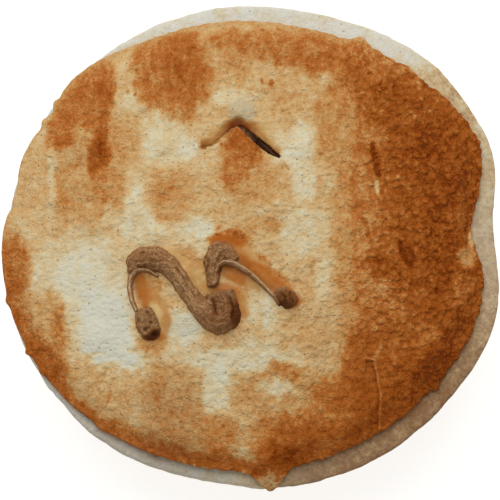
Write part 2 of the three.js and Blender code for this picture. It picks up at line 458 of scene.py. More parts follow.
WHITE_FLOUR = (
    Blot(-39.5, -8.5, 6, 7, 0.06, 0.4),
    Blot(-34, -21, 6, 9, 0, 0.3, corner=3),
    Blot(-31.5, -29, 5.5, 4, 0, 0.35),
    Blot(-15, -22, 3, 3.5, 0.05),
    Blot(-14.5, 22.5, 2, 2.5, 0.07),
    Blot(-7.5, -31.5, 1.5, 3.5, 0.06),
    Blot(11, 20, 2.5, 2.5, 0.08),
    Blot(-12, 1.5, 2.5, 1.5, 0.06),
)
RIGHT_HALF = (
    Blot(48.5, 0, 28.5, 52.5, 0.4, 0.06, corner=3),
    Blot(50.5, 1.5, 26.5, 50, 0.49, 0.08, corner=3),
    Blot(53, 4, 20.5, 49, 0.66, 0.18),
    Blot(52, 9, 17, 37, 0.75, 0.25),
    Blot(53, 4, 11, 27, 0.82, 0.3),
    Blot(19.5, 30.5, 6, 4, 0.42, turn=-20),
    Blot(38, 35, 6, 4.5, 0.8),
    Blot(20.5, 25.5, 4, 7, 0.41),
    Blot(21.5, 36.5, 3.5, 3, 0.46),
    Blot(35, 20, 5, 4, 0.76),
    Blot(46, 22, 7, 9, 0.86),
)
TOP_BAND = (
    Blot(-9.6, 45.5, 3.2, 6.5, 0.37, 0.4, corner=3),
    Blot(11, 48, 20.5, 5.5, 0.5, 0.22, turn=-4),
    Blot(32, 40, 12.5, 9, 0.57, 0.3, turn=-35),
    Blot(19.5, 44.5, 6, 2, 0.62, 0.4),
    Blot(27, 44.5, 3, 6, 0.62, 0.35),
    Blot(-2.5, 49, 6, 4, 0.51, 0.25),
    Blot(-3, 42.8, 3.5, 3.5, 0.38),
    Blot(14, 47.5, 5, 6, 0.57),
    Blot(36, 33.5, 8, 7, 0.76, turn=-20),
    Blot(-19.3, 43, 9.4, 11.8, 0.54, 0.16, turn=8, corner=3),
    Blot(-16.5, 44.5, 5, 7, 0.63, 0.3, corner=3),
    Blot(-17.5, 35, 4, 3, 0.6, 0.4, turn=-20),
    Blot(-17.5, 31.6, 4.5, 2.2, 0.44, 0.6, turn=-10),
)
LEFT_SHOULDER = (
    Blot(-42.7, 13.3, 5, 9.5, 0.37, 0.35, corner=3),
    Blot(-30.1, 24.5, 3.9, 6.5, 0.36),
    Blot(-40.2, 35.5, 6, 10, 0.57, 0.2, turn=-25, corner=3),
    Blot(-46.2, 26.6, 3.8, 4, 0.53, 0.25, corner=3),
    Blot(-44.7, 24.6, 2, 2.2, 0.63, 0.6),
    Blot(-35.4, 33, 1.9, 7, 0.65, 0.6, corner=3),
    Blot(-36.2, 26.6, 2.3, 3.5, 0.6, 0.4),
    Blot(-32.8, 14, 3, 8, 0.39, 0.6),
    Blot(-40.6, 24.6, 1.7, 4.2, 0.37, 0.4, turn=10),
    Blot(-36.1, 21.6, 2.6, 5.2, 0.84, 0.45),
    Blot(-35.7, 13, 1.5, 5.5, 0.47, 0.6),
    Blot(-36, 6.5, 1.2, 2.6, 0.42),
    Blot(-47.8, 13.5, 1, 8.5, 0.19, 0.6, corner=3),
    Blot(-45.3, 10, 1.3, 2.4, 0.46, 0.6),
    Blot(-52.2, 15.5, 3.2, 7.5, 0.28),
)
LEFT_EDGE = (
    Blot(-56.8, -7.2, 4, 8.6, 0.55, 0.35, turn=3, corner=3),
    Blot(-56.5, -12.5, 2, 3, 0.68, 0.4),
    Blot(-50.5, -22.5, 6.5, 9, 0.39, 0.35, corner=4),
    Blot(-51, -17, 3, 2.5, 0.3, 0.6),
    Blot(-45, -24.5, 2.6, 3.6, 0.42),
    Blot(-39.5, -31, 3, 3, 0.28, 0.6),
    Blot(-45.2, -20, 1.2, 5.5, 0.52, 0.7),
    Blot(-54.5, -22.5, 3, 10, 0.49, 0.6, turn=12),
    Blot(-48.3, -31.0, 4.4, 8.6, 0.62, 0.45, turn=32),
    Blot(-39.4, -41, 6, 2, 0.58, 0.6, turn=-38),
    Blot(-33.8, -44.6, 5.5, 2, 0.6, 0.6, turn=-35),
    Blot(-33.5, -39.5, 3.5, 3, 0.38),
)
GOLDEN_MIDDLE = (
    Blot(-19, 10.5, 6.5, 6.5, 0.35, 0.3),
    Blot(-19.5, 11, 3, 2.5, 0.45),
    Blot(0.5, 14, 7, 6, 0.38, 0.4),
    Blot(-1.8, 22.4, 4.6, 4.8, 0.67, 0.3, corner=3),
    Blot(-3.4, 17, 3, 5, 0.52, 0.4, corner=3),
    Blot(3, 3, 5, 2, 0.37, 0.4),
)
PIPED_STAINS_AND_SHADOWS = (
    Blot(-23, -15, 3, 8.5, 0.4, 0.4, turn=12),
    Blot(-13.5, -8, 4, 7, 0.36, 0.4, turn=40),
    Blot(-2, -15.5, 1.5, 6, 0.36, 0.4),
    Blot(-4.6, -0.3, 4.8, 1.9, 0.64, 0.4),
    Blot(2.7, -6.8, 8, 2.0, 0.5, 0.35, turn=-40),
    Blot(-2.5, -9, 3.5, 2, 0.55, turn=-20),
    # Painted shadows under the low bend and under the end blob of the piped line
    Blot(-5.5, -23, 6.5, 1.8, 0.27, 0.7, turn=14),
    Blot(-23.4, -25.2, 4.0, 1.8, 0.42, 0.7, turn=8),
)
NEAR_SIDE = (
    Blot(19.6, -28.5, 2.6, 4, 0.25, 0.4),
    Blot(5, -44, 4.5, 3, 0.46, 0.6),
    Blot(-31.5, -36.5, 8.5, 5.5, 0.29, 0.4, turn=-15),
    Blot(-18.5, -40, 7.2, 10.4, 0.33, 0.2, corner=4),
    Blot(-21.7, -36.4, 1.2, 5.8, 0.46, 0.6, turn=-3, corner=3),
    Blot(-17, -44, 6, 6, 0.42),
    Blot(-7.5, -46, 5, 5, 0.49),
    Blot(6, -36, 9.5, 5, 0.37, 0.4, turn=12),
    Blot(8.5, -31.5, 4, 2, 0.46),
    Blot(6, -35.5, 4, 2, 0.14),
    Blot(22.5, -38.5, 8.5, 7, 0.56, 0.3, turn=10),
    Blot(35, -34.5, 13.5, 15, 0.65, 0.2, corner=3),
    Blot(14.5, -47, 14, 6.5, 0.6, 0.3, turn=6),
    Blot(34.5, -38, 11.5, 11, 0.79, 0.4),
    Blot(15.5, -48.5, 10.5, 4.5, 0.71, 0.4, turn=10),
    Blot(-23.8, -49.2, 9.5, 2.6, 0.54, turn=-28),
    Blot(-10.5, -52, 16, 2, 0.64, 0.3, turn=-8),
    Blot(9, -51.5, 6, 3.5, 0.88),
    Blot(4.6, -55.4, 4.5, 2, 0.85),
    Blot(4.5, -59.6, 3.8, 4.2, 0.3, 0.25),
)
DARKEST_SPOTS = (
    Blot(51, 18, 3.5, 8.5, 0.85, 0.6, turn=-10),
    Blot(45.5, 10, 3.5, 3, 0.83, 0.6),
    Blot(39, 20, 2, 2, 0.82, 0.6),
    Blot(45.5, -5.5, 3, 4, 0.85, 0.6),
    Blot(50.5, -21.5, 2, 7, 0.86, 0.6, turn=-8),
    Blot(44.5, -31.5, 4.5, 7, 1.0, 0.6, turn=-40),
    Blot(36.5, -38, 6, 3.5, 0.84, 0.6, turn=38),
    Blot(27, -45, 6, 3, 0.82, 0.6, turn=30),
    Blot(48.5, -24.5, 3.5, 4.5, 0.9, 0.6, turn=-20),
    Blot(33, -6, 6, 3, 0.73, 0.6),
    Blot(31, -18, 3.5, 3, 0.64, 0.6),
    Blot(50.5, -11.5, 3.2, 3.2, 0.62, 0.6),
    Blot(51, 5, 3, 3, 0.7, 0.6),
)
BLOTS = (BROAD_TONES + WHITE_FLOUR + RIGHT_HALF + TOP_BAND + LEFT_SHOULDER + LEFT_EDGE
         + GOLDEN_MIDDLE + PIPED_STAINS_AND_SHADOWS + NEAR_SIDE + DARKEST_SPOTS)

# Small spots with clean edges
SPOTS = (
    Blot(-1.9, 31.3, 3.2, 2.6, 0.14, 0.25, turn=12, corner=3),
    Blot(3.0, 39.1, 0.4, 0.7, 0.66),
    Blot(5.2, 38.8, 0.6, 0.9, 0.72),
    Blot(-29.6, 36.8, 0.5, 0.4, 0.6, 0.6),
    Blot(-27.8, 35.9, 0.4, 0.4, 0.7, 0.6),
    # Painted shade down the upper split
    Blot(30.3, 19.4, 0.75, 4.4, 0.9, turn=10),
    Blot(30.7, 12.8, 0.55, 2.0, 0.17, 0.35),
    Blot(37.6, -3.8, 3.5, 1.6, 0.97, 0.3, turn=-66),
    Blot(52.2, -4.0, 2.4, 2.8, 0.4, turn=-20),
    Blot(53.4, 0.6, 0.9, 2.4, 0.3, 0.6),
    Blot(51.3, -7.4, 0.4, 0.5, 0.98),
)

# Painted shade, greying the crust below its browning: the scrap over the rim, a near and a left patch, and
# the vent's far puff
PAINTED_SHADE_PATCHES = (
    Blot(4.6, -59.8, 4.4, 4.4, 0.34, 0.4),
    Blot(-18.5, -42.0, 7.5, 8.5, 0.17, 0.4, corner=3),
    Blot(-1.9, 31.3, 3.4, 2.8, 0.26, 0.25, turn=12, corner=3),
    Blot(-41.0, 21.0, 4.0, 4.0, 0.08),
)

# Splits and flakes of the lid, whose browning is partly painted shade in the grooves
CRACKS = (
    Crack(((29.5, 24.0), (30.2, 19.4), (31.2, 14.2)), 0.5, 0.8),
    Crack(((31.0, 14.6), (31.4, 12.2), (32.6, 9.6)), 0.3, 0.4, browned=0.16),
    Crack(((26.0, -29.6), (27.4, -28.6), (29.1, -29.2), (29.8, -32.2), (30.0, -34.4), (30.6, -37.1),
           (30.3, -41.0), (30.4, -46.0)), 0.22, 0.1, sunk=0.4, reach=7.0, sunk_side=Side.RIGHT, lip=0.35,
          browned=0.14, pale=0.36),
    Crack(((31.4, -25.2), (29.6, -27.6), (29.1, -29.2)), 0.3, -0.3, browned=-0.2),
    Crack(((35.2, -22.6), (34.0, -25.6), (34.3, -30.8)), 0.35, -0.25, browned=-0.16),
    Crack(((35.8, 0.4), (36.2, -3.0), (38.5, -7.2)), 0.3, 0.3, sunk=0.5, reach=3.0, browned=0.15),
    Crack(((38.5, -7.2), (39.2, -4.4), (38.8, -1.6)), 0.3, 0.2, sunk=0.4, reach=3.0, browned=0.1),
    Crack(((26.6, 5.6), (28.2, 3.4), (28.4, 0.2)), 0.34, 0.4, lip=0.4, sunk_side=Side.RIGHT, pale=0.2),
    Crack(((38.6, -8.0), (38.5, -14.0)), 0.22, 0.25, browned=0.14),
    Crack(((-36.4, 24.2), (-36, 21), (-35, 17.6)), 0.25, 0.3, browned=0.15),
    Crack(((-18.2, 44.8), (-18, 42), (-16.4, 40), (-15.4, 37)), 0.22, 0.25, browned=0.16),
    Crack(((8.2, 18.8), (8.6, 17.6), (9.6, 16.4)), 0.12, 0.45, browned=0.18),
    Crack(((-6.7, 7.4), (-6.5, 6.2), (-6.6, 4.8)), 0.12, 0.4),
    Crack(((-38, -27.6), (-35.6, -27.2), (-33.8, -27.6)), 0.2, 0.25, browned=0.12),
    Crack(((-37.4, -31), (-35.4, -30), (-34, -31.4), (-34.4, -33.4)), 0.2, 0.25, browned=0.14),
    Crack(((-32.8, -35.6), (-33.2, -38), (-34, -40)), 0.2, 0.25, browned=0.18),
)


@dataclass(frozen=True)
class Crown:
    """The filled crown under the lid: a flat rim with a low dome inside it."""

    rim_top: float = 30.0
    height: float = 5.0
    radius: float = 57.0

    def at(self, x: Array, y: Array) -> Array:
        """Rim height plus the dome, which is 1 minus the squared share of the radius, to the power 1.5."""
        share = np.minimum(np.hypot(x, y) / self.radius, 1.0)
        return self.rim_top + self.height * (1.0 - share * share) ** 1.5


def mesh_piece(name: str, points: Array, faces: Sequence[Array]) -> Piece:
    """Makes a smooth-shaded mesh piece from points in millimetres.

    Args:
        name: Name of the piece.
        points: Places, one row each.
        faces: Arrays of corner numbers, one row to a face.

    Returns:
        The piece, linked to the scene at the origin.
    """
    mesh = bpy.data.meshes.new(name)
    mesh.from_pydata((points * MM).tolist(), [], [row for block in faces for row in block.tolist()])
    mesh.validate()
    mesh.shade_smooth()
    piece = bpy.data.objects.new(name, mesh)
    bpy.context.scene.collection.objects.link(piece)
    return piece


def places_of(piece: Piece) -> Array:
    """Reads a piece's vertices.

    Args:
        piece: A mesh piece.

    Returns:
        Places in millimetres, one row each.
    """
    flat = np.empty(3 * len(piece.data.vertices))
    piece.data.vertices.foreach_get("co", flat)
    return flat.reshape(-1, 3) / MM


def put_attributes(piece: Piece, marks: dict[str, Array]) -> None:
    """Stores numbers on a piece's vertices for the material to read.

    Args:
        piece: A mesh piece.
        marks: Names of the attributes, each with one number a vertex.
    """
    for name, values in marks.items():
        layer = piece.data.attributes.new(name, "FLOAT", "POINT")
        layer.data.foreach_set("value", np.ascontiguousarray(values, dtype=np.float32))


def cell_corners(number: Array) -> Array:
    """Corners of a grid's cells, anticlockwise where its rows run up and its columns across.

    Args:
        number: Vertex numbers laid out as the grid.

    Returns:
        Four corner numbers for each cell, in the layout of the cells.
    """
    return np.stack((number[:-1, :-1], number[:-1, 1:], number[1:, 1:], number[1:, :-1]), axis=-1)


def loop_rows(first: int, rows: int, around: int) -> Array:
    """Quads between rows of a closed ring, each row following the one before.

    Args:
        first: Number of the first row's first vertex.
        rows: Number of rows.
        around: Vertices in a row.

    Returns:
        Corner numbers, wound so that rows running down a wall face out where the ring runs anticlockwise.
    """
    row, step = np.meshgrid(np.arange(rows - 1), np.arange(around), indexing="ij")
    here = first + row * around + step
    beside = first + row * around + (step + 1) % around
    return np.stack((here, here + around, beside + around, beside), axis=-1).reshape(-1, 4)


def carve(piece: Piece, blade: Piece) -> None:
    """Cuts a blade out of a piece and removes the blade.

    Args:
        piece: The piece to cut.
        blade: The closed piece that is cut away.
    """
    cut = piece.modifiers.new("cut", "BOOLEAN")
    cut.operation = "DIFFERENCE"
    cut.solver = "MANIFOLD"
    cut.object = blade
    graph = bpy.context.evaluated_depsgraph_get()
    whole = piece.data
    piece.data = bpy.data.meshes.new_from_object(piece.evaluated_get(graph))
    piece.data.name = piece.name
    piece.modifiers.clear()
    bpy.data.meshes.remove(whole)
    bpy.data.objects.remove(blade)


def blade_along(name: str, near: Array, far: Array, floor: Array, roof: float) -> Piece:
    """A closed blade between two lines, from a floor height up to a roof.

    Args:
        name: Name of the blade.
        near: Places of the near edge, one row a step.
        far: Places of the far edge, on the left of the near one.
        floor: Floor height at each step.
        roof: Height of the blade's top.

    Returns:
        The blade, a four-cornered section carried along the two lines and closed at both ends.
    """
    steps = len(near)
    high = np.full(steps, roof)
    corners = ((near, floor), (near, high), (far, high), (far, floor))
    points = np.stack([np.column_stack((line, height)) for line, height in corners], axis=1).reshape(-1, 3)
    ends = np.array([[0, 1, 2, 3], [4 * steps - 1, 4 * steps - 2, 4 * steps - 3, 4 * steps - 4]])
    return mesh_piece(name, points, (loop_rows(0, steps, 4), ends))


@dataclass(frozen=True)
class Vent:
    """The chevron steam vent: a folded left arm and an open right arm, with the far crust rolled into it."""

    near_edge: Track = Track(((-11.9, 21.6), (-8.8, 22.3), (-7.0, 24.0), (-3.9, 27.0), (-2.8, 27.4),
                              (-1.8, 26.3), (1.5, 22.9), (4.4, 20.5), (7.5, 19.3)))
    roll_width: float = 3.2
    roll_depth: float = 1.7
    step_at: float = 0.4
    fold_width: float = 0.8
    slot_width: float = 1.95
    slot_start: float = 0.455
    slot_end: float = 0.985
    blade_top: float = 50.0

    def roll(self, x: Array, y: Array) -> Array:
        """Depth of the rolled far crust: greatest at the near edge, rising to a round top over its width.

        Args:
            x: Places across.
            y: Places up.

        Returns:
            Depth below the crust, 0 on the tongue.
        """
        far, side, share = self.near_edge.measure(x, y)
        first, last = self.near_edge.points[0], self.near_edge.points[-1]
        beyond = np.maximum(first[0] - x, 0.7 * (x - last[0]) - 0.7 * (y - last[1]))
        part = np.minimum(far / self.width(share), 1.0)
        slope = (1.0 - part) * (1.0 - 0.35 * part)
        strength = (0.5 + 0.5 * ease(0.15, 0.45, share)) * (1.0 - 0.6 * ease(0.8, 1.0, share))
        depth = self.roll_depth * strength * slope * (1.0 - ease(0.0, 0.7, beyond))
        return np.where((side > 0.0) & (far > self.step_at), depth, 0.0)

    def shade(self, x: Array, y: Array) -> Array:
        """Browning and painted shade of the rolled crust: 1 at the crease, none beyond the roll's width or on
        the tongue.

        Args:
            x: Places across.
            y: Places up.

        Returns:
            Levels from 0 to 1.
        """
        far, side, share = self.near_edge.measure(x, y)
        ends = ease(0.0, 0.03, share) * ease(0.0, 0.05, 1.0 - share)
        # The bell near the outer end paints the shadow of the groove's sunken end
        strength = ends * (0.62 + 0.5 * bell(share - 0.46, 0.08) + 0.2 * bell(share - 0.04, 0.05))
        level = np.clip(strength * (1.05 - (far / self.width(share)) ** 3), 0.0, 1.0)
        return np.where(side > 0.0, level, 0.0)

    def width(self, share: Array) -> Array:
        """Width of the roll: less at the vent's tip and outer end, greater beyond the open slot."""
        beyond_slot = ease(0.46, 0.56, share) * (1.0 - ease(0.62, 1.0, share))
        return self.roll_width + 1.8 * beyond_slot - 0.3 * bell(share - 0.44, 0.06)

    def edge(self, low: float, high: float, steps: int) -> tuple[Array, Array, Array]:
        """Part of the near edge, made uneven by small noise, and its normals towards the far side.

        Args:
            low: Share of the edge where the part starts.
            high: Share where it ends.
            steps: Number of places on it.

        Returns:
            Places one row a step, unit normals and shares of the whole edge.
        """
        gone, share = self.near_edge.gone(), np.linspace(low, high, steps)
        way = share * gone[-1]
        line = np.column_stack([np.interp(way, gone, axis) for axis in np.array(self.near_edge.points).T])
        run = np.gradient(line, axis=0)
        normal = np.column_stack((-run[:, 1], run[:, 0])) / np.hypot(run[:, 0], run[:, 1])[:, None]
        waver = 0.14 * Grain(Seed.VENT_EDGE).layered(way, np.zeros(steps), 2.2, 3)
        return line + waver[:, None] * normal, normal, share

    def slot_blade(self, floor: float, rise: float = 0.0) -> Piece:
        """The open arm's slot: a long leaf beside the near edge, with a floor that rises towards the tip.

        Args:
            floor: Height of the floor at the slot's outer end.
            rise: How much higher the floor is at the vent's tip.

        Returns:
            The blade.
        """
        line, normal, share = self.edge(self.slot_start, self.slot_end, 60)
        part = (share - share[0]) / (share[-1] - share[0])
        width = 0.14 + self.slot_width * np.sin(math.pi * (0.07 + 0.88 * part ** 1.2)) ** 0.45
        floors = floor + rise * (1.0 - part * part)
        return blade_along("slot_blade", line, line + width[:, None] * normal, floors, self.blade_top)

    def fold_blade(self, lid: "Lid") -> Piece:
        """The crease beside the whole near edge, down to the rolled crust.

        Args:
            lid: The lid that it is cut from.

        Returns:
            The blade.
        """
        line, normal, _ = self.edge(0.0, 1.0, 110)
        far_side = line + self.fold_width * normal
        floor = lid.top(far_side[:, 0], far_side[:, 1]) - 0.15
        return blade_along("fold_blade", line, far_side, floor, self.blade_top)


@dataclass(frozen=True)
class Ribbon:
    """A strip along a line over the crust: its points, with the half width and the height at each."""

    points: Line
    halves: tuple[float, ...]
    heights: tuple[float, ...]

    def measure(self, x: Array, y: Array) -> tuple[Array, Array, Array]:
        """Nearest place on the middle line, with the strip's sizes there.

        Args:
            x: Places across.
            y: Places up.

        Returns:
            Distance to the line, and the half width and height interpolated along it.
        """
        track = Track(self.points)
        far, _, share = track.measure(x, y)
        half, tall = (np.interp(share, track.shares(), sizes) for sizes in (self.halves, self.heights))
        return far, half, tall


@dataclass(frozen=True)
class Juice(Ribbon):
    """Smooth amber juice that ran out beside the piped line."""

    def spread(self, x: Array, y: Array) -> tuple[Array, Array]:
        """Cover, which eases in from the strip's border, and height, a low mound across the line.

        Args:
            x: Places across.
            y: Places up.

        Returns:
            Cover from 0 to 1, and height.
        """
        far, half, tall = self.measure(x, y)
        part = np.minimum(far / half, 1.0)
        return 1.0 - ease(0.45, 1.0, part), tall * mound(part, 1.0)


JUICES = (
    Juice(((-26.0, -10.1), (-24.4, -13.7), (-21.8, -16.7), (-20.0, -19.5), (-20.7, -23.1)),
          (2.4, 3.2, 3.2, 2.4, 2.0), (0.3, 0.4, 0.4, 0.5, 0.3)),
    Juice(((-8.2, -1.6), (-5.6, -1.2), (-2.2, -3.4), (0.9, -6.9), (4.3, -10.3), (7.9, -12.9),
           (10.6, -15.2)), (1.9, 2.6, 3.3, 2.8, 2.5, 2.6, 2.3), (1.0, 1.2, 1.2, 1.1, 1.1, 1.0, 0.4)),
    Juice(((-6.2, -8.1), (-2.3, -9.7), (1.6, -11.6)), (2.4, 2.2, 1.6), (0.3, 0.3, 0.3)),
    Juice(((-9.6, -12.3), (-5.5, -12.7), (-2.3, -14.3), (-1.1, -18.2)),
          (2.0, 2.4, 2.4, 1.8), (0.4, 0.4, 0.4, 0.3)),
    Juice(((-20.0, -3.4), (-15.6, -6.8), (-12.0, -10.8)), (2.2, 2.8, 2.6), (0.3, 0.3, 0.3)),
)
JUICE_TONES_AND_SHADING = (
    Blot(-24.8, -13.8, 3.4, 5.0, 0.7, turn=12),
    Blot(-5.0, -1.0, 4.6, 2.0, 1.0, 0.45, turn=-6),
    Blot(-2.4, -5.0, 3.0, 2.2, 0.55, turn=-30),
    Blot(3.6, -8.8, 7.0, 2.2, 0.72, turn=-33),
    Blot(1.2, -4.2, 3.4, 1.3, 0.36, 0.6, turn=-40),
    Blot(7.6, -11.4, 4.4, 2.6, 0.86, turn=-45),
    Blot(10.6, -15.4, 2.2, 2.0, 1.0),
    Blot(-3.8, -9.0, 3.6, 1.8, 0.7, turn=-20),
    Blot(-2.2, -16.0, 1.5, 3.0, 0.55, turn=10),
    Blot(-5.4, -12.0, 4.2, 1.7, 0.72, turn=-8),
    # Painted light in the trough beside the left ridge: shade in the hollow under the bend and along its
    # edges, a highlight down its middle
    Blot(-26.0, -10.0, 1.8, 2.0, 0.75, 0.7),
    Blot(-19.4, -20.3, 1.4, 3.7, 0.46, 0.7, turn=8),
    Blot(-21.4, -23.8, 1.8, 1.4, 0.75, 0.6),
    Blot(-26.2, -16.4, 1.2, 2.6, 0.5, 0.6, turn=20),
    Blot(-22.8, -12.6, 1.2, 2.4, 0.5, 0.6, turn=25),
    Blot(-22.2, -17.6, 1.4, 2.4, 0.05, 0.6, turn=30),
)


@dataclass(frozen=True)
class Run(Ribbon):
    """One run of the piped line, with its surface and whether its ends are cut square."""

    dough: Dough
    blunt: bool = False

    def fibre(self, x: Array, y: Array) -> Array:
        """Fibres along the run: noise of the way along it and the way across, drawn out along it.

        Args:
            x: Places across.
            y: Places up.

        Returns:
            Noise at the places.
        """
        track = Track(self.points)
        far, side, share = track.measure(x, y)
        return Grain(Seed.FIBRES).layered(share * track.gone()[-1], side * far + 30.0, 0.8, 3, 0.7, 3.5)

    def rise(self, x: Array, y: Array) -> Array:
        """Height over the crust: a round fibrous bead that falls steadily outside it, cut square if blunt.

        Args:
            x: Places across.
            y: Places up.

        Returns:
            Heights, below 0 outside the run.
        """
        far, half, tall = self.measure(x, y)
        waver = half * (1.0 + 0.10 * Grain(Seed.BEAD_WAVER).layered(x, y, 2.0, 3))
        steep, blunted = (2.1, 0.8) if self.dough is Dough.ROUGH else (1.2, 1.0)
        bead = tall * (1.0 - np.minimum(far / waver, 1.0) ** steep) ** blunted
        bead -= 2.5 * np.maximum(far - waver, 0.0)
        bead += 0.13 * tall * self.fibre(x, y) * ease(0.0, 0.3, 1.0 - far / half)
        return bead - self.squared_off(x, y) if self.blunt else bead

    def squared_off(self, x: Array, y: Array) -> Array:
        """Depth cut away past the torn ends: a steep fall with the way past either end along the line.

        Args:
            x: Places across.
            y: Places up.

        Returns:
            Depths, 0 short of the ends.
        """
        corners = np.array(self.points)
        past = np.full(x.shape, -np.inf)
        for end, inner in ((corners[0], corners[1]), (corners[-1], corners[-2])):
            out = (end - inner) / np.hypot(*(end - inner))
            past = np.maximum(past, (x - end[0]) * out[0] + (y - end[1]) * out[1])
        torn = 0.35 * Grain(Seed.TORN_END).layered(x, y, 1.2, 2)
        return 5.0 * np.maximum(past + torn - 0.2, 0.0)


@dataclass
class PipedLine:
    """The wavy line of piped dough, runs of rough bead and thin ridge laid on the lid."""

    low: Point = (-32.0, -27.5)
    high: Point = (13.0, 3.5)
    step: float = 0.13
    sink: float = 1.2
    blend: float = 3.5
    runs: tuple[Run, ...] = (
        Run(((-24.6, -18.8), (-24.2, -20.4), (-23.4, -22.0)), (2.5, 2.9, 2.5), (2.5, 2.8, 2.5), Dough.ROUGH),
        Run(((-26.8, -17.2), (-27.9, -14.7), (-28.4, -11.7), (-28.0, -9.4), (-27.0, -8.1), (-25.4, -7.8),
             (-23.6, -8.1), (-21.8, -9.2)), (0.55, 0.6, 0.7, 0.9, 0.85, 0.6, 0.48, 0.36),
            (1.4, 1.6, 1.8, 2.2, 2.3, 2.0, 1.6, 1.1), Dough.RIDGE),
        Run(((-27.5, -7.6), (-27.1, -6.0), (-25.1, -4.8), (-22.1, -5.1), (-19.4, -6.6), (-17.4, -8.8),
             (-14.9, -12.6), (-11.9, -16.6), (-9.2, -19.3), (-7.0, -19.9)),
            (1.6, 2.5, 2.9, 3.0, 2.6, 2.2, 2.1, 2.3, 2.8, 2.9),
            (2.2, 2.8, 3.0, 3.0, 2.8, 2.4, 2.3, 2.6, 3.0, 3.2), Dough.ROUGH),
        Run(((-9.0, -19.3), (-7.0, -19.9), (-5.4, -18.8), (-5.6, -16.4), (-6.5, -13.6)),
            (2.9, 3.2, 3.4, 3.2, 3.0), (3.0, 3.3, 3.4, 3.2, 3.0), Dough.ROUGH, True),
        Run(((-8.3, -14.0), (-8.1, -17.4), (-7.8, -19.4)),
            (2.2, 2.8, 2.6), (2.7, 3.0, 3.1), Dough.ROUGH, True),
        Run(((-8.3, -11.4), (-8.8, -8.6), (-8.5, -6.0), (-7.4, -3.9), (-5.6, -4.0), (-3.6, -5.6)),
            (1.7, 1.7, 2.5, 2.7, 2.4, 1.4), (2.5, 2.7, 2.9, 2.7, 2.4, 1.9), Dough.ROUGH, True),
        Run(((-7.9, -11.0), (-8.0, -8.8), (-7.4, -7.1), (-6.0, -6.1), (-3.4, -6.5), (0.1, -8.7),
             (3.1, -11.4), (5.9, -14.3), (7.0, -16.1)), (0.5, 0.55, 0.65, 0.85, 0.9, 0.7, 0.55, 0.46, 0.42),
            (2.6, 2.7, 2.9, 2.9, 2.5, 2.1, 1.8, 1.6, 1.4), Dough.RIDGE),
        Run(((7.7, -13.8), (9.1, -14.9)), (2.0, 2.3), (1.9, 2.2), Dough.ROUGH),
    )
    grooves: tuple[Crack, ...] = (
        Crack(((-24.6, -17.4), (-22.9, -19.2), (-23.4, -21.6), (-25.2, -22.2)), 0.22, 0.6, browned=0.18),
        Crack(((-26.4, -19.2), (-25.4, -20.6), (-25.6, -21.8)), 0.2, 0.5, browned=0.18),
        Crack(((-8.9, -14.6), (-8.2, -16.8), (-7.6, -19.4)), 0.22, 0.4, browned=0.3),
        Crack(((-4.6, -14.6), (-3.9, -17.2), (-4.4, -20.2)), 0.22, 0.55, browned=0.4),
        Crack(((-10.6, -4.4), (-9.6, -6.4), (-10.4, -9.0)), 0.2, 0.4, browned=0.3),
        Crack(((-17.6, -7.2), (-15.2, -10.8), (-12.4, -15.0)), 0.2, 0.4, browned=0.25),
        Crack(((6.8, -13.4), (8.4, -14.6), (8.0, -16.4)), 0.24, 0.6, browned=0.14),
        Crack(((9.9, -12.9), (9.3, -14.6), (10.6, -16.0)), 0.24, 0.5, browned=0.14),
    )
    # Painted light on the slant's shaded lower flank, raising its bead tone
    paler: Blot = Blot(-14.9, -12.4, 6.4, 2.6, 0.55, 0.4, turn=-55)
    darkened: tuple[Blot, ...] = (
        Blot(-25.0, -6.5, 4.5, 3.5, 0.16, 0.4),
        Blot(-24.5, -20.0, 3.5, 4.0, 0.03, 0.4),
        Blot(-22.3, -22.9, 1.3, 0.9, 1.0, 0.7, turn=35),
        Blot(-23.6, -23.8, 1.2, 0.6, 0.8, 0.7, turn=-10),
        Blot(-7.2, -6.0, 3.6, 4.4, 0.1, 0.4),
        Blot(-14.9, -12.4, 6.4, 2.6, 0.12, 0.4, turn=-55),
        Blot(-5.6, -18.0, 5.0, 4.4, 0.26, 0.4),
        Blot(-2.9, -18.4, 1.3, 3.4, 0.7, turn=-10),
        Blot(-8.2, -17.0, 0.5, 2.6, 0.4, 0.6, turn=-10),
        Blot(-6.4, -8.4, 1.0, 1.1, 0.7, 0.6),
        Blot(8.8, -15.0, 2.8, 2.4, 0.42, 0.4),
        Blot(8.4, -16.3, 1.6, 0.9, 0.7),
    )

    def of(self, dough: Dough) -> list[Run]:
        """The runs of one surface."""
        return [run for run in self.runs if run.dough is dough]

    def rise(self, x: Array, y: Array, dough: Dough) -> Array:
        """Height of all runs of one surface: their highest, with neighbours blended by a sum of powers of e.

        Args:
            x: Places across.
            y: Places up.
            dough: The surface.

        Returns:
            Heights, below 0 outside the runs.
        """
        total = sum(np.exp(self.blend * np.maximum(run.rise(x, y), -3.0)) for run in self.of(dough))
        return np.log(total) / self.blend

    def fibre(self, x: Array, y: Array) -> Array:
        """Fibres of the rough run that is highest at each place.

        Args:
            x: Places across.
            y: Places up.

        Returns:
            Noise at the places.
        """
        rough = self.of(Dough.ROUGH)
        highest = np.argmax([run.rise(x, y) for run in rough], axis=0)
        return np.choose(highest, [run.fibre(x, y) for run in rough])

    def crest_and_highlight(self, x: Array, y: Array) -> Array:
        """Share of the thin ridges' pale crest, partly a painted highlight: 1 on their middle lines, none at
        0.85 of their half width.
        """
        measures = (run.measure(x, y) for run in self.of(Dough.RIDGE))
        return 1.0 - ease(0.2, 0.85, np.minimum.reduce([far / half for far, half, _ in measures]))

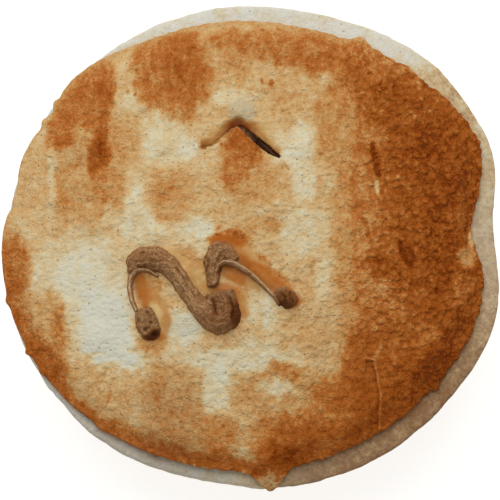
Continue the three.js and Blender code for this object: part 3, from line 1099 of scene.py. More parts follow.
    def shell(self, height: Array) -> tuple[Array, Array, Array]:
        """Cells of the grid that the runs cover, with walls down from their open edges.

        Args:
            height: Height of the runs over the grid.

        Returns:
            Grid numbers of the vertices in use, corners of the upper cells and corners of the walls, whose
            lower vertices follow all the upper ones in the same order.
        """
        kept = height > -0.9 * self.sink
        cells = kept[:-1, :-1] | kept[:-1, 1:] | kept[1:, :-1] | kept[1:, 1:]
        corners = cell_corners(np.arange(height.size).reshape(height.shape))[cells]
        used, upper = np.unique(corners, return_inverse=True)
        upper, count = upper.reshape(-1, 4), len(used)
        ahead = np.roll(upper, -1, axis=1)
        open_edge = ~np.isin(upper * count + ahead, ahead * count + upper)
        start, end = upper[open_edge], ahead[open_edge]
        return used, upper, np.column_stack((end, start, start + count, end + count))

    def build(self, lid: "Lid") -> Piece:
        """Raises the runs as heights over a square grid, keeps the cells they cover and closes them below.

        Args:
            lid: The lid that carries the line.

        Returns:
            The piece with its attributes.
        """
        x, y = np.meshgrid(*(np.arange(low, high, self.step) for low, high in zip(self.low, self.high)))
        lumps = Grain(Seed.BEAD_LUMPS).lumps(x, y, 2.2) - 0.28
        crumb = 0.5 * lumps + 0.6 * Grain(Seed.BEAD_CRUMB).layered(x, y, 0.9, 2, 0.7)
        rough, ridge = (self.rise(x, y, dough) for dough in Dough)
        rough += 0.38 * crumb * ease(0.0, 0.8, rough)
        dark = lay_over(np.zeros(x.shape), self.darkened, x, y)
        for groove in self.grooves:
            rough += groove.relief(x, y)
            # The grooves' browning is partly painted shade in them
            dark += groove.browning(x, y)
        ridge += 0.12 * crumb
        height = np.maximum(rough, ridge)
        used, upper, walls = self.shell(height)
        used_x, used_y = x.ravel()[used], y.ravel()[used]
        ground = lid.top(used_x, used_y)
        levels = (ground + np.maximum(height.ravel()[used], -self.sink), ground - 1.15 * self.sink)
        points = np.vstack([np.column_stack((used_x, used_y, level)) for level in levels])
        piece = mesh_piece("piped_dough", points, (upper, upper[:, ::-1] + len(used), walls))
        # Bead tone follows its raised crumb and fibres, paler on them as painted light, plus the slant's
        # painted light
        grain = 0.5 + 0.5 * crumb + 0.6 * self.fibre(x, y) + self.paler.level * self.paler.cover(x, y)
        marks = {"ridge": ease(-0.15, 0.15, ridge - rough), "crumb": grain, "char": dark,
                 "foot": 1.0 - ease(0.2, 1.5, height), "crest_and_highlight": self.crest_and_highlight(x, y)}
        put_attributes(piece, {name: np.tile(mark.ravel()[used], 2) for name, mark in marks.items()})
        return piece


@dataclass
class Lid:
    """The browned pastry lid, a thin crust moulded over the crown with a ragged oval outline."""

    crown: Crown
    vent: Vent
    centre: Point = (-1.3, 0.3)
    half_width: float = 57.7
    half_depth: float = 55.0
    thickness: float = 3.5
    edge_round: float = 0.55
    seat: float = 0.2
    cells: int = 286
    blister_count: int = 110
    blister_radius: float = 5.0
    blister_height: float = 0.9
    slot_drop: float = 5.0
    slot_rise: float = 10.4
    pale_ground: float = 0.24
    juice_ground: float = 0.3
    streaked_left: Span = (10.0, 32.0)
    streaked_far: Span = (32.0, 42.0)
    rugged_right: Span = (14.0, 32.0)
    calmer_near: Span = (10.0, 35.0)
    finer_left: Span = (8.0, 30.0)
    inside_edge: Span = (48.16, 50.4)
    puff: Oval = Oval(-1.9, 31.3, 4.4, 3.0)
    flake: Oval = Oval(26.0, -36.0, 7.0, 10.0)
    split: Oval = Oval(37.6, -3.8, 2.0, 3.6)
    swells: tuple[Swell, ...] = (
        Swell(29, 12, 4.6), Swell(53, 10, 1.6), Swell(3.5, 5.5, -3.2), Swell(341, 10, 1.3),
        Swell(132, 8, 2.0), Swell(168, 4, -1.2), Swell(184, 12, 0.9), Swell(214, 10, 0.6),
        Swell(276, 2.6, 4.8), Swell(90, 24, 0.5), Swell(22.5, 4, 1.0), Swell(41, 1.6, -0.6),
        Swell(47, 2.5, 0.4), Swell(60.4, 1.5, 1.9), Swell(143.4, 0.9, 0.8), Swell(145.3, 0.8, -0.4),
        Swell(148.6, 0.9, 0.7), Swell(150.8, 0.9, -0.3), Swell(169.8, 0.7, 0.3), Swell(171.4, 0.8, -0.5),
        Swell(137.5, 2.5, 0.5), Swell(158, 5, 0.6), Swell(194.2, 0.9, 0.6), Swell(200, 6, 0.4),
        Swell(207.4, 0.7, 0.9), Swell(213, 0.9, 0.4), Swell(233, 2.0, 0.5), Swell(322.2, 0.9, 1.0),
        Swell(326, 12, 0.5),
    )
    rougher: tuple[Swell, ...] = (Swell(232, 13, 0.7),)
    pale_border: tuple[Swell, ...] = (Swell(88, 20, 1.0), Swell(134, 14, 0.9))
    brown_border: tuple[Swell, ...] = (Swell(205, 18, 1.0), Swell(250, 14, 0.7))

    def oval(self, turn: Array) -> Array:
        """Distance of the plain oval from the lid's centre, by the turn in radians."""
        return 1.0 / np.hypot(np.cos(turn) / self.half_width, np.sin(turn) / self.half_depth)

    def reach(self, turn: Array) -> Array:
        """Distance of the outline from the lid's centre: the oval, its swellings and a fine raggedness.

        Args:
            turn: Turns in radians.

        Returns:
            Distances.
        """
        degrees = np.degrees(turn)
        ring = NOISE_RING * np.cos(turn), NOISE_RING * np.sin(turn)
        ragged = (0.3 * Grain(Seed.OUTLINE).layered(*ring, 7.0, 2)
                  + 0.28 * Grain(Seed.FRINGE).layered(*ring, 3.4, 2))
        roughness = 0.6 + 0.4 * np.cos(turn) + swell_sum(self.rougher, degrees)
        return self.oval(turn) + swell_sum(self.swells, degrees) + ragged * roughness

    def browning(self, x: Array, y: Array) -> Array:
        """Browning level: patches laid over a pale ground, their edges warped by noise, then mottled, with
        painted shade in the relief's seams and between its puffs and painted light on its ridges.

        Args:
            x: Places across.
            y: Places up.

        Returns:
            Levels from 0, floury white, to 1, nearly burnt.
        """
        wide, fine, drift = Grain(Seed.PATCH_WARP), Grain(Seed.FINE_WARP), Grain(Seed.DRIFT)
        warp_x = x + wide.layered(x, y, 7.0) + 0.8 * fine.layered(x, y, 2.2, 3)
        warp_y = (y + 1.5 * wide.layered(x + 50.0, y + 80.0, 8.0)
                  + 1.1 * fine.layered(x + 60.0, y + 40.0, 2.2, 3))
        level = lay_over(self.pale_ground + 0.05 * drift.layered(x, y, 14.0, 3), BLOTS, warp_x, warp_y)
        level = level + self.mottling(x, y, level)
        # Partly painted light: browner in the cobbles' seams and between the pale puffs, paler along the thin
        # ridges
        seamed = 0.13 * np.maximum(0.27 - self.seams(x, y), -0.2) - 0.12 * (self.ridges(x, y) - 0.3)
        level = level + self.ruggedness(x, y, level) * seamed
        level = level + 0.14 * (0.3 + level) * np.maximum(0.3 - self.puffs(x, y), -0.25)
        level = level + (0.36 - level) * self.border(x, y, 1.2, self.pale_border)
        level = level + 0.14 * self.border(x, y, 2.2, self.brown_border)
        level = lay_over(level, SPOTS, x, y)
        return np.clip(level + sum(crack.browning(x, y) for crack in CRACKS), 0.0, 1.0)

    def mottling(self, x: Array, y: Array, level: Array) -> Array:
        """Mottles, upright streaks and specks, stronger to the left and where the crust is browner.

        Args:
            x: Places across.
            y: Places up.
            level: Browning at the places before.

        Returns:
            Browning to add.
        """
        wide, fine, drift = Grain(Seed.PATCH_WARP), Grain(Seed.FINE_WARP), Grain(Seed.DRIFT)
        leftward = ease(*self.streaked_left, -x)
        streaky = 0.05 + 0.04 * leftward + 0.05 * ease(*self.streaked_far, y)
        streak = streaky * drift.layered(x, y + 25.0, 5.0, 3, 0.6, 0.35)
        specks = ease(0.4, 0.9, fine.layered(x - 20.0, y - 70.0, 1.7, 2)) * ease(0.12, 0.24, level)
        mottled = 0.05 + 0.035 * (leftward + bell(x - 13.0, 9.0))
        mottle = (0.03 * fine.layered(x + 9.0, y + 31.0, 1.3, 3, 0.7)
                  + mottled * wide.layered(x - 40.0, y, 3.6, 3))
        return (mottle + streak) * (0.35 + level) + (0.06 + 0.06 * leftward) * specks

    def border(self, x: Array, y: Array, width: float, spans: Sequence[Swell]) -> Array:
        """Share of a border along parts of the outline: a bell of the way in from it.

        Args:
            x: Places across.
            y: Places up.
            width: Spread of the bell.
            spans: Where round the outline the border lies, with its strength there.

        Returns:
            Shares from 0 to 1.
        """
        away_x, away_y = x - self.centre[0], y - self.centre[1]
        turn = np.arctan2(away_y, away_x)
        inward = self.reach(turn) - np.hypot(away_x, away_y)
        return np.minimum(swell_sum(spans, np.degrees(turn)), 1.0) * bell(inward, width)

    def blisters(self, x: Array, y: Array) -> Array:
        """Broad unevenness: slow waves, and mounds spread by the golden angle with drawn sizes.

        Args:
            x: Places across.
            y: Places up.

        Returns:
            Heights.
        """
        height = 0.3 * np.sin(x / 6.5 + 0.8) * np.sin(y / 6.5 - 0.5)
        number = np.arange(self.blister_count)
        far = self.half_depth * np.sqrt((number + 0.5) / self.blister_count)
        turn = number * math.pi * (3.0 - math.sqrt(5.0))
        radius = self.blister_radius * (0.7 + 0.7 * chance(number))
        tall = self.blister_height * chance(number + self.blister_count)
        for at_x, at_y, wide, high in zip(far * np.cos(turn), far * np.sin(turn), radius, tall):
            height += high * mound(np.hypot(x - at_x, y - at_y), wide)
        return height

    def relief(self, x: Array, y: Array, level: Array) -> Array:
        """Crust relief: blisters, the vent's puff and roll, browned cobbles, pale crumb, juice and cracks.

        Args:
            x: Places across.
            y: Places up.
            level: Browning at the places.

        Returns:
            Heights over the smooth lid.
        """
        rugged = self.ruggedness(x, y, level)
        lumps, crumbs = Grain(Seed.COBBLES), Grain(Seed.PALE_CRUMB)
        cobble = 0.65 * self.seams(x, y) + 0.36 * lumps.lumps(x, y, 1.8) + 0.24 * self.ridges(x, y)
        floury = 0.5 + 0.5 * ease(0.05, 0.25, level)
        crumb = floury * (0.42 * self.puffs(x, y) + 0.22 * crumbs.layered(x, y, 1.4, 2, 0.7, 1.2))
        cover, swollen = self.juice(x, y)
        fine = (rugged * cobble + (1.0 - rugged) * crumb) * (1.0 - 0.85 * cover)
        height = self.blisters(x, y) + 0.7 * mound(self.puff.far(x, y), 1.0) + fine + swollen
        return height + sum(crack.relief(x, y) for crack in CRACKS) - self.vent.roll(x, y)

    def juice(self, x: Array, y: Array) -> tuple[Array, Array]:
        """Cover and height of all the juice: the greatest of its runs at each place."""
        spreads = [run.spread(x, y) for run in JUICES]
        return tuple(np.maximum.reduce([spread[part] for spread in spreads]) for part in range(2))

    def ruggedness(self, x: Array, y: Array, level: Array) -> Array:
        """Share of cobbled crust: most on the browned right half, little elsewhere or by its split and flake.

        Args:
            x: Places across.
            y: Places up.
            level: Browning at the places.

        Returns:
            Shares from 0 to 1.
        """
        right = 0.22 + 0.78 * ease(*self.rugged_right, x)
        flaked, split = (bell(place.far(x, y), 0.7) for place in (self.flake, self.split))
        smooth = (1.0 - 0.75 * flaked) * (1.0 - 0.9 * split)
        near = 1.0 - 0.35 * ease(*self.calmer_near, -y)
        return ease(0.3, 0.6, level) * right * smooth * near

    def seams(self, x: Array, y: Array) -> Array:
        """Broad lumps of the browned crust, 0 in the seams between them, bent by finer noise.

        Args:
            x: Places across.
            y: Places up.

        Returns:
            Heights of the lumps.
        """
        bend = Grain(Seed.SEAMS)
        bent_x = x + 0.8 * bend.layered(x, y, 2.8, 2)
        bent_y = y + 0.8 * bend.layered(x + 33.0, y, 2.8, 2)
        return bend.lumps(bent_x, bent_y + 60.0, 3.2)

    def ridges(self, x: Array, y: Array) -> Array:
        """Thin ridges round the pits of the browned crust: a bell about the zero lines of bent noise.

        Args:
            x: Places across.
            y: Places up.

        Returns:
            Shares from 0 to 1, 1 along the ridges.
        """
        net = Grain(Seed.RIDGES)
        bend = 0.5 * net.layered(x - 12.0, y + 45.0, 1.6, 2)
        return bell(net.layered(x + bend, y - bend, 3.0, 2, 0.5), 0.11)

    def puffs(self, x: Array, y: Array) -> Array:
        """Small puffs of the pale crust, 0 in the seams between them."""
        return Grain(Seed.PUFFS).lumps(x, y, 2.4, 3, 1.15)

    def top(self, x: Array, y: Array) -> Array:
        """Height of the crust's top at places away from the edge."""
        return self.crown.at(x, y) + self.seat + self.thickness + self.relief(x, y, self.browning(x, y))

    def grid(self) -> tuple[Array, Array]:
        """Square grid laid on a disc: squares become circles, with turns even along each square's sides.

        Returns:
            Shares of the way to the edge, and turns in radians.
        """
        line = np.linspace(-1.0, 1.0, self.cells + 1)
        across, up = np.meshgrid(line, line)
        wide = np.abs(across) >= np.abs(up)
        long_side = np.where(wide, across, up)
        ratio = np.where(wide, up, across) / np.where(np.abs(long_side) < 1e-9, 1.0, long_side)
        flat = 0.25 * math.pi * ratio + math.pi * (across < 0.0)
        steep = 0.5 * math.pi - 0.25 * math.pi * ratio + math.pi * (up < 0.0)
        return np.abs(long_side), np.where(wide, flat, steep)

    def build(self) -> Piece:
        """Makes the moulded crust with its rounded ragged edge and underside, and cuts the vent.

        Returns:
            The piece with its attributes.
        """
        share, turn = self.grid()
        oval, reach = self.oval(turn), self.reach(turn) - self.edge_round
        far = share * oval + share ** 6 * (reach - oval)
        x, y = self.centre[0] + far * np.cos(turn), self.centre[1] + far * np.sin(turn)
        base = self.crown.at(x, y) + self.seat
        drop = 1.0 - 0.6 * ease(0.90, 1.0, share)
        z = base + self.thickness * drop + self.relief(x, y, self.browning(x, y)) * (1.0 - 0.6 * share ** 16)
        number = np.arange(x.size).reshape(x.shape)
        rim = np.concatenate((number[0, :-1], number[:-1, -1], number[-1, :0:-1], number[:0:-1, 0]))
        rings = self.rings(*(part.ravel()[rim] for part in (x, y, z, turn, base)))
        middle = [[*self.centre, self.crown.at(*np.array(self.centre)) + self.seat]]
        points = np.vstack((np.column_stack((x.ravel(), y.ravel(), z.ravel())), *rings, middle))
        first, around = x.size, len(rim)
        step = np.arange(around)
        join = np.column_stack((rim, first + step, first + np.roll(step, -1), np.roll(rim, -1)))
        last = first + (len(rings) - 1) * around + step
        fan = np.column_stack((last, np.full(around, len(points) - 1), np.roll(last, -1)))
        faces = (cell_corners(number).reshape(-1, 4), join, loop_rows(first, len(rings), around), fan)
        piece = mesh_piece("browned_lid", points, faces)
        self.cut_vent(piece)
        self.dress(piece)
        return piece

    def rings(self, x: Array, y: Array, z: Array, turn: Array, floor: Array) -> list[Array]:
        """Rings below the rim: a half circle out round the crumbled edge, then rings in under the crust.

        Args:
            x: The rim's places across.
            y: Its places up.
            z: Its heights.
            turn: Its turns in radians.
            floor: Heights of the seat below it.

        Returns:
            Places of each ring, from the rim down and in.
        """
        rings = []
        crumble = Grain(Seed.EDGE_CRUMBLE).layered(x, y, 1.6, 3)
        for angle in np.radians((60.0, 30.0, 0.0, -30.0, -60.0, -90.0)):
            out = self.edge_round * math.cos(angle) * (1.0 + (0.45 + 0.35 * np.cos(turn)) * crumble)
            height = floor + (z - floor) * (0.5 + 0.5 * math.sin(angle))
            rings.append(np.column_stack((x + out * np.cos(turn), y + out * np.sin(turn), height)))
        for inward in (0.94, 0.8, 0.5):
            under = [middle + inward * (place - middle) for place, middle in zip((x, y), self.centre)]
            rings.append(np.column_stack((*under, self.crown.at(*under) + self.seat)))
        return rings

    def cut_vent(self, piece: Piece) -> None:
        """Cuts the crease down to the rolled crust and the open arm through the lid.

        Args:
            piece: The lid.
        """
        carve(piece, self.vent.fold_blade(self))
        carve(piece, self.vent.slot_blade(self.crown.rim_top - self.slot_drop, self.slot_rise))

    def dress(self, piece: Piece) -> None:
        """Stores the browning, painted shade and crumb, and the depth of cut walls, for the crust's material.

        Args:
            piece: The lid after its cuts.
        """
        x, y, z = places_of(piece).T
        level = self.browning(x, y)
        inner = 1.0 - ease(*self.inside_edge, np.hypot(x - self.centre[0], y - self.centre[1]))
        # Dark of the slot's cut walls and floor, below the crust top: partly moist filling, partly painted
        # shade in the slot
        walls = inner * ease(0.6, 1.6, self.top(x, y) - z)
        # Painted shade of a few patches, stored in one value with the cut walls' dark
        shade_patches = np.maximum.reduce([blot.level * blot.cover(x, y) for blot in PAINTED_SHADE_PATCHES])
        put_attributes(piece, {
            "bake": level, "rugged": self.ruggedness(x, y, level), "cut": np.maximum(walls, shade_patches),
            "crumbly": 1.0 - 0.35 * ease(*self.finer_left, -x), "roll": self.vent.shade(x, y),
            "juice": self.juice(x, y)[0],
            "tone": lay_over(np.full(x.shape, self.juice_ground), JUICE_TONES_AND_SHADING, x, y),
        })


@dataclass
class Case:
    """The pale pastry case: a flat foot, a sloping wall, a rolled uneven rim and the crown under the lid."""

    crown: Crown
    vent: Vent
    rim_radius: float = 59.7
    rim_thickness: float = 3.6
    wall_top_radius: float = 53.0
    foot_radius: float = 45.0
    foot_round: float = 3.0
    crown_radius: float = 49.0
    seam_radius: float = 54.0
    well_place: Point = (2.0, 24.5)
    well_depth: float = 9.0
    well_rise: float = 8.4
    well_radii: Span = (46.0, 49.0)
    well_heights: Span = (20.0, 22.0)
    rim_heights: Span = (23.0, 28.5)
    smudge_radii: Span = (55.5, 58.0)
    around: int = 640
    swells: tuple[Swell, ...] = (
        Swell(21, 7, 2.1), Swell(42, 17, 4.6), Swell(95, 18, 0.5), Swell(168, 20, -0.6), Swell(238, 9, 0.6),
        Swell(252, 17, -1.9), Swell(326, 18, 0.9), Swell(342, 9, 1.8), Swell(3, 7, -0.8),
        Swell(263, 5, -0.6), Swell(287, 5, -0.4), Swell(221, 5, -0.4),
    )
    tanned: tuple[Swell, ...] = (
        Swell(285, 10, 0.4), Swell(316, 22, 0.7), Swell(4, 16, 0.26), Swell(37, 8, 0.3),
    )
    smudges: tuple[Swell, ...] = (Swell(243, 6, 1.0), Swell(262, 4, 0.4))
    # Painted shade: where round the rim it is greyed, and how strongly
    shaded_turns: tuple[Swell, ...] = (Swell(243, 22, 0.9), Swell(0, 13, 0.45))

    def section(self) -> Array:
        """The half section from the foot's middle up the wall, round the rim and in to the crown's middle.

        Returns:
            Radius and height, one row a point, without the two points on the axis.
        """
        foot_turn = np.linspace(0.0, 0.5 * math.pi, 7)
        foot = np.column_stack((self.foot_radius - self.foot_round * (1.0 - np.sin(foot_turn)),
                                self.foot_round * (1.0 - np.cos(foot_turn))))
        wall_top = self.crown.rim_top - self.rim_thickness
        wall = np.column_stack((np.linspace(self.foot_radius, self.wall_top_radius, 34),
                                np.linspace(self.foot_round, wall_top, 34)))[1:]
        roll = 0.5 * self.rim_thickness
        under = np.column_stack((np.linspace(self.wall_top_radius, self.rim_radius - roll, 8),
                                 np.full(8, wall_top)))[1:-1]
        turn = np.linspace(-0.5 * math.pi, 0.5 * math.pi, 16)
        out, up = (np.sqrt(np.abs(wave)) for wave in (np.cos(turn), np.sin(turn)))
        edge = np.column_stack((self.rim_radius - roll + roll * out,
                                self.crown.rim_top - roll + roll * np.sign(turn) * up))
        flat = np.linspace(self.rim_radius - roll, self.crown_radius, 24)[1:]
        inner = np.linspace(self.crown_radius, 4.0, 10)[1:]
        top = np.concatenate((flat, inner))
        lid_side = np.column_stack((top, self.crown.at(top, np.zeros_like(top))))
        middle = np.column_stack((np.linspace(8.0, self.foot_radius - self.foot_round, 5)[:-1], np.zeros(4)))
        return np.concatenate((middle, foot, wall, under, edge, lid_side))

    def build(self) -> Piece:
        """Turns the section round the axis, made uneven by pressed waves, the rim's outline and floury lumps.

        Returns:
            The piece with its attributes.
        """
        section = self.section()
        turn = np.linspace(0.0, 2.0 * math.pi, self.around, endpoint=False)[None, :]
        radius, height = section[:, :1] + 0.0 * turn, section[:, 1:] + 0.0 * turn
        wall_top = self.crown.rim_top - self.rim_thickness
        flared = ease(wall_top - self.rim_thickness, wall_top + 0.5 * self.rim_thickness, height)
        lumps, fine = Grain(Seed.CASE_LUMPS), Grain(Seed.CASE_FLOUR)
        ragged = 0.25 * lumps.layered(NOISE_RING * np.cos(turn), NOISE_RING * np.sin(turn), 9.0, 4)
        stretch = 1.0 + flared * (swell_sum(self.swells, np.degrees(turn)) + ragged) / self.rim_radius
        belly = np.sin(math.pi * np.minimum(height / wall_top, 1.0))
        pressed = 0.45 * belly * (np.sin(7.0 * turn) + np.sin(11.0 * turn + height / 5.0))
        way = NOISE_RING * turn
        skin = 0.10 * fine.layered(way, height, 2.6, 4, 0.6) + 0.18 * lumps.layered(way, height, 7.0, 2)
        on_wall = ease(0.4, 2.5, height) * (1.0 - ease(wall_top + 1.0, self.crown.rim_top, height))
        reach = radius * stretch + np.where(radius > self.foot_radius, pressed, 0.0) + on_wall * skin
        x, y = reach * np.cos(turn), reach * np.sin(turn)
        on_top = height >= self.crown.rim_top - 1e-9
        seam = ease(self.seam_radius, self.rim_radius, radius)
        sag = 0.7 * seam * flared * (0.5 + 0.5 * np.sin(3.0 * turn))
        flour = flared * seam * (0.3 * lumps.layered(x, y, 4.0, 3) + 0.18 * fine.layered(x, y, 1.4, 3))
        z = np.where(on_top, self.crown.at(x, y), height) - sag + flour - 0.12 * flared * seam
        points = np.stack((x, y, z), axis=-1).reshape(-1, 3)
        count = len(points)
        quads = loop_rows(0, len(section), self.around)[:, ::-1]
        ring = np.arange(self.around)
        beside, tail = np.roll(ring, -1), count - self.around
        caps = (np.column_stack((beside, ring, np.full(self.around, count))),
                np.column_stack((tail + ring, tail + beside, np.full(self.around, count + 1))))
        ends = [[0.0, 0.0, 0.0], [0.0, 0.0, self.crown.rim_top + self.crown.height]]
        piece = mesh_piece("pale_case", np.vstack((points, ends)), (quads, *caps))
        well_floor = self.crown.at(*self.well_place) - self.well_depth
        carve(piece, self.vent.slot_blade(well_floor, self.well_rise))
        self.dress(piece)
        return piece

    def dress(self, piece: Piece) -> None:
        """Stores how toasted the case is, where painted shade greys its rim, and where its wall and the
        vent's moist well are.

        Args:
            piece: The case after its cut.
        """
        x, y, z = places_of(piece).T
        turn, radius = np.degrees(np.arctan2(y, x)), np.hypot(x, y)
        rim = ease(*self.rim_heights, z)
        blotch = 0.12 * Grain(Seed.TOAST).layered(x, y, 5.0, 4, 0.7)
        smudged = 0.9 * swell_sum(self.smudges, turn) * (1.0 - ease(*self.smudge_radii, radius))
        smudge = smudged * ease(0.0, 0.5, Grain(Seed.SMUDGE).layered(x, y, 2.2, 3))
        put_attributes(piece, {
            "toast": np.clip(0.06 + swell_sum(self.tanned, turn) + blotch + smudge, 0.0, 1.0),
            "wall": 1.0 - rim,
            "moist": (1.0 - ease(*self.well_radii, radius)) * ease(*self.well_heights, z),
            # Painted shade greying the rim at the near side and on the right
            "rim_shade": rim * np.clip(swell_sum(self.shaded_turns, turn), 0.0, 1.0),
        })


class NodeSheet:
    """A material's nodes, with short calls that add and join them."""

    def __init__(self, name: str) -> None:
        """Starts a material with its shader.

        Args:
            name: Name of the material.
        """
        self.material = bpy.data.materials.new(name)
        self.material.use_nodes = True
        self.nodes = self.material.node_tree.nodes
        self.links = self.material.node_tree.links
        self.shader = self.nodes["Principled BSDF"]
        self.place = self.nodes.new("ShaderNodeTexCoord").outputs["Object"]

    def feed(self, target: Socket, value: Feed) -> None:
        """Joins a socket to a target, or sets a plain value on it.

        Args:
            target: The input that is fed.
            value: A socket or a plain value.
        """
        if isinstance(value, Socket):
            self.links.new(value, target)
        else:
            target.default_value = value

    def surface(self, inputs: dict[str, Feed]) -> None:
        """Feeds the shader's inputs by their names."""
        for name, value in inputs.items():
            self.feed(self.shader.inputs[name], value)

    def attribute(self, name: str) -> Socket:
        """Reads a number stored on the mesh.

        Args:
            name: Name of the attribute.

        Returns:
            Its socket.
        """
        node = self.nodes.new("ShaderNodeAttribute")
        node.attribute_name = name
        return node.outputs["Fac"]

    def noise(self, size: float, detail: float = 4.0, rough: float = 0.6,
              squeeze: Tone = (1.0, 1.0, 1.0)) -> Socket:
        """Noise over the piece.

        Args:
            size: Feature size in millimetres.
            detail: Number of finer layers.
            rough: Weight of the finer layers.
            squeeze: Factors on the three axes.

        Returns:
            The noise socket, about 0 to 1.
        """
        mapping = self.nodes.new("ShaderNodeMapping")
        mapping.inputs["Scale"].default_value = squeeze
        self.links.new(self.place, mapping.inputs["Vector"])
        node = self.nodes.new("ShaderNodeTexNoise")
        node.inputs["Scale"].default_value = 1.0 / (size * MM)
        node.inputs["Detail"].default_value = detail
        node.inputs["Roughness"].default_value = rough
        self.links.new(mapping.outputs["Vector"], node.inputs["Vector"])
        return node.outputs["Fac"]

    def bent(self, size: float, bend: float) -> Socket:
        """Places moved about by noise of a size, by up to the bend, both in millimetres.

        Args:
            size: Feature size of the noise.
            bend: How far it moves a place.

        Returns:
            The socket of the places.
        """
        waver = self.nodes.new("ShaderNodeTexNoise")
        waver.inputs["Scale"].default_value = 1.0 / (size * MM)
        self.links.new(self.place, waver.inputs["Vector"])
        moved = self.nodes.new("ShaderNodeVectorMath")
        moved.operation = "MULTIPLY_ADD"
        moved.inputs[1].default_value = (2.0 * bend * MM,) * 3
        self.links.new(waver.outputs["Color"], moved.inputs[0])
        self.links.new(self.place, moved.inputs[2])
        return moved.outputs["Vector"]

    def bubbles(self, size: float, bend: float) -> Socket:
        """Rounded bubbles with seams: 1 less the squared distance to the nearest middle, at bent places.

        Args:
            size: Bubble size in millimetres.
            bend: How far noise bends the bubbles, in millimetres.

        Returns:
            The bubble socket, 0 to 1.
        """
        node = self.nodes.new("ShaderNodeTexVoronoi")
        node.feature = "SMOOTH_F1"
        node.inputs["Scale"].default_value = 1.0 / (size * MM)
        node.inputs["Smoothness"].default_value = 0.25
        self.links.new(self.bent(1.3 * size, bend), node.inputs["Vector"])
        far = self.remap(node.outputs["Distance"], 0.0, 0.8, 0.0, 1.0)
        return self.math("SUBTRACT", 1.0, self.times(far, far))

    def spots(self, size: float, radius: float, rarity: float) -> Socket:
        """Sparse round spots: cells whose drawn number passes the rarity, inside a radius of their middle.

        Args:
            size: Cell size in millimetres.
            radius: Spot radius as a share of the cell.
            rarity: Share of cells left empty.

        Returns:
            A socket of 1 in the spots and 0 elsewhere.
        """
        node = self.nodes.new("ShaderNodeTexVoronoi")
        node.inputs["Scale"].default_value = 1.0 / (size * MM)
        self.links.new(self.place, node.inputs["Vector"])
        near = self.remap(node.outputs["Distance"], radius, 0.5 * radius, 0.0, 1.0)
        drawn = self.nodes.new("ShaderNodeSeparateColor")
        self.links.new(node.outputs["Color"], drawn.inputs["Color"])
        return self.times(near, self.math("GREATER_THAN", drawn.outputs["Red"], rarity))

    def math(self, operation: str, first: Feed, second: Feed) -> Socket:
        """Adds a sum, product or other operation of two numbers.

        Args:
            operation: Name of the operation.
            first: First number.
            second: Second number.

        Returns:
            The socket of the result.
        """
        node = self.nodes.new("ShaderNodeMath")
        node.operation = operation
        self.feed(node.inputs[0], first)
        self.feed(node.inputs[1], second)
        return node.outputs["Value"]

    def plus(self, *terms: Feed) -> Socket:
        """Sum of two or more numbers."""
        return reduce(lambda first, second: self.math("ADD", first, second), terms)

    def times(self, *factors: Feed) -> Socket:
        """Product of two or more numbers."""
        return reduce(lambda first, second: self.math("MULTIPLY", first, second), factors)

    def remap(self, value: Socket, low: float, high: float, new_low: float, new_high: float) -> Socket:
        """Maps a range of numbers onto another, clipped at its ends.

        Args:
            value: The number to map.
            low: Start of its range.
            high: End of its range.
            new_low: Number at the start.
            new_high: Number at the end.

        Returns:
            The socket of the mapped number.
        """
        node = self.nodes.new("ShaderNodeMapRange")
        for target, number in zip(node.inputs[:5], (value, low, high, new_low, new_high)):
            self.feed(target, number)
        return node.outputs["Result"]

    def by(self, share: Socket, none: float, full: float) -> Socket:
        """A number that runs from one value to another as a share runs from 0 to 1."""
        return self.remap(share, 0.0, 1.0, none, full)

    def swing(self, noise: Socket, low: float, high: float) -> Socket:
        """A number that runs from one value to another over the usual range of a noise."""
        return self.remap(noise, 0.3, 0.7, low, high)

    def ramp(self, factor: Socket, stops: Ramp, gain: float) -> Socket:
        """Colour by a number from 0 to 1.

        Args:
            factor: The number.
            stops: Positions and display tones.
            gain: Factor on the linear colours.

        Returns:
            The colour socket.
        """
        node = self.nodes.new("ShaderNodeValToRGB")
        elements = node.color_ramp.elements
        while len(elements) < len(stops):
            elements.new(1.0)
        for element, (position, tone) in zip(elements, stops):
            element.position = position
            element.color = linear(tone, gain)
        self.feed(node.inputs["Fac"], factor)
        return node.outputs["Color"]

    def mix(self, factor: Socket, first: Feed, second: Feed) -> Socket:
        """Blends two colours by a factor.

        Args:
            factor: Share of the second colour.
            first: First colour.
            second: Second colour.

        Returns:
            The socket of the blend.
        """
        node = self.nodes.new("ShaderNodeMix")
        node.data_type = "RGBA"
        colour_sockets = [socket for socket in node.inputs if socket.type == "RGBA"]
        self.feed(node.inputs["Factor"], factor)
        self.feed(colour_sockets[0], first)
        self.feed(colour_sockets[1], second)
        return next(socket for socket in node.outputs if socket.type == "RGBA")

    def bump(self, heights: Sequence[tuple[Socket, float]]) -> None:
        """Joins fine relief to the shader's normal.

        Args:
            heights: Height sockets of about 0 to 1, each with its height in millimetres.
        """
        total = self.plus(0.0, *(self.times(socket, tall * MM) for socket, tall in heights))
        node = self.nodes.new("ShaderNodeBump")
        node.inputs["Strength"].default_value = 1.0
        node.inputs["Distance"].default_value = 1.0
        self.links.new(total, node.inputs["Height"])
        self.links.new(node.outputs["Normal"], self.shader.inputs["Normal"])


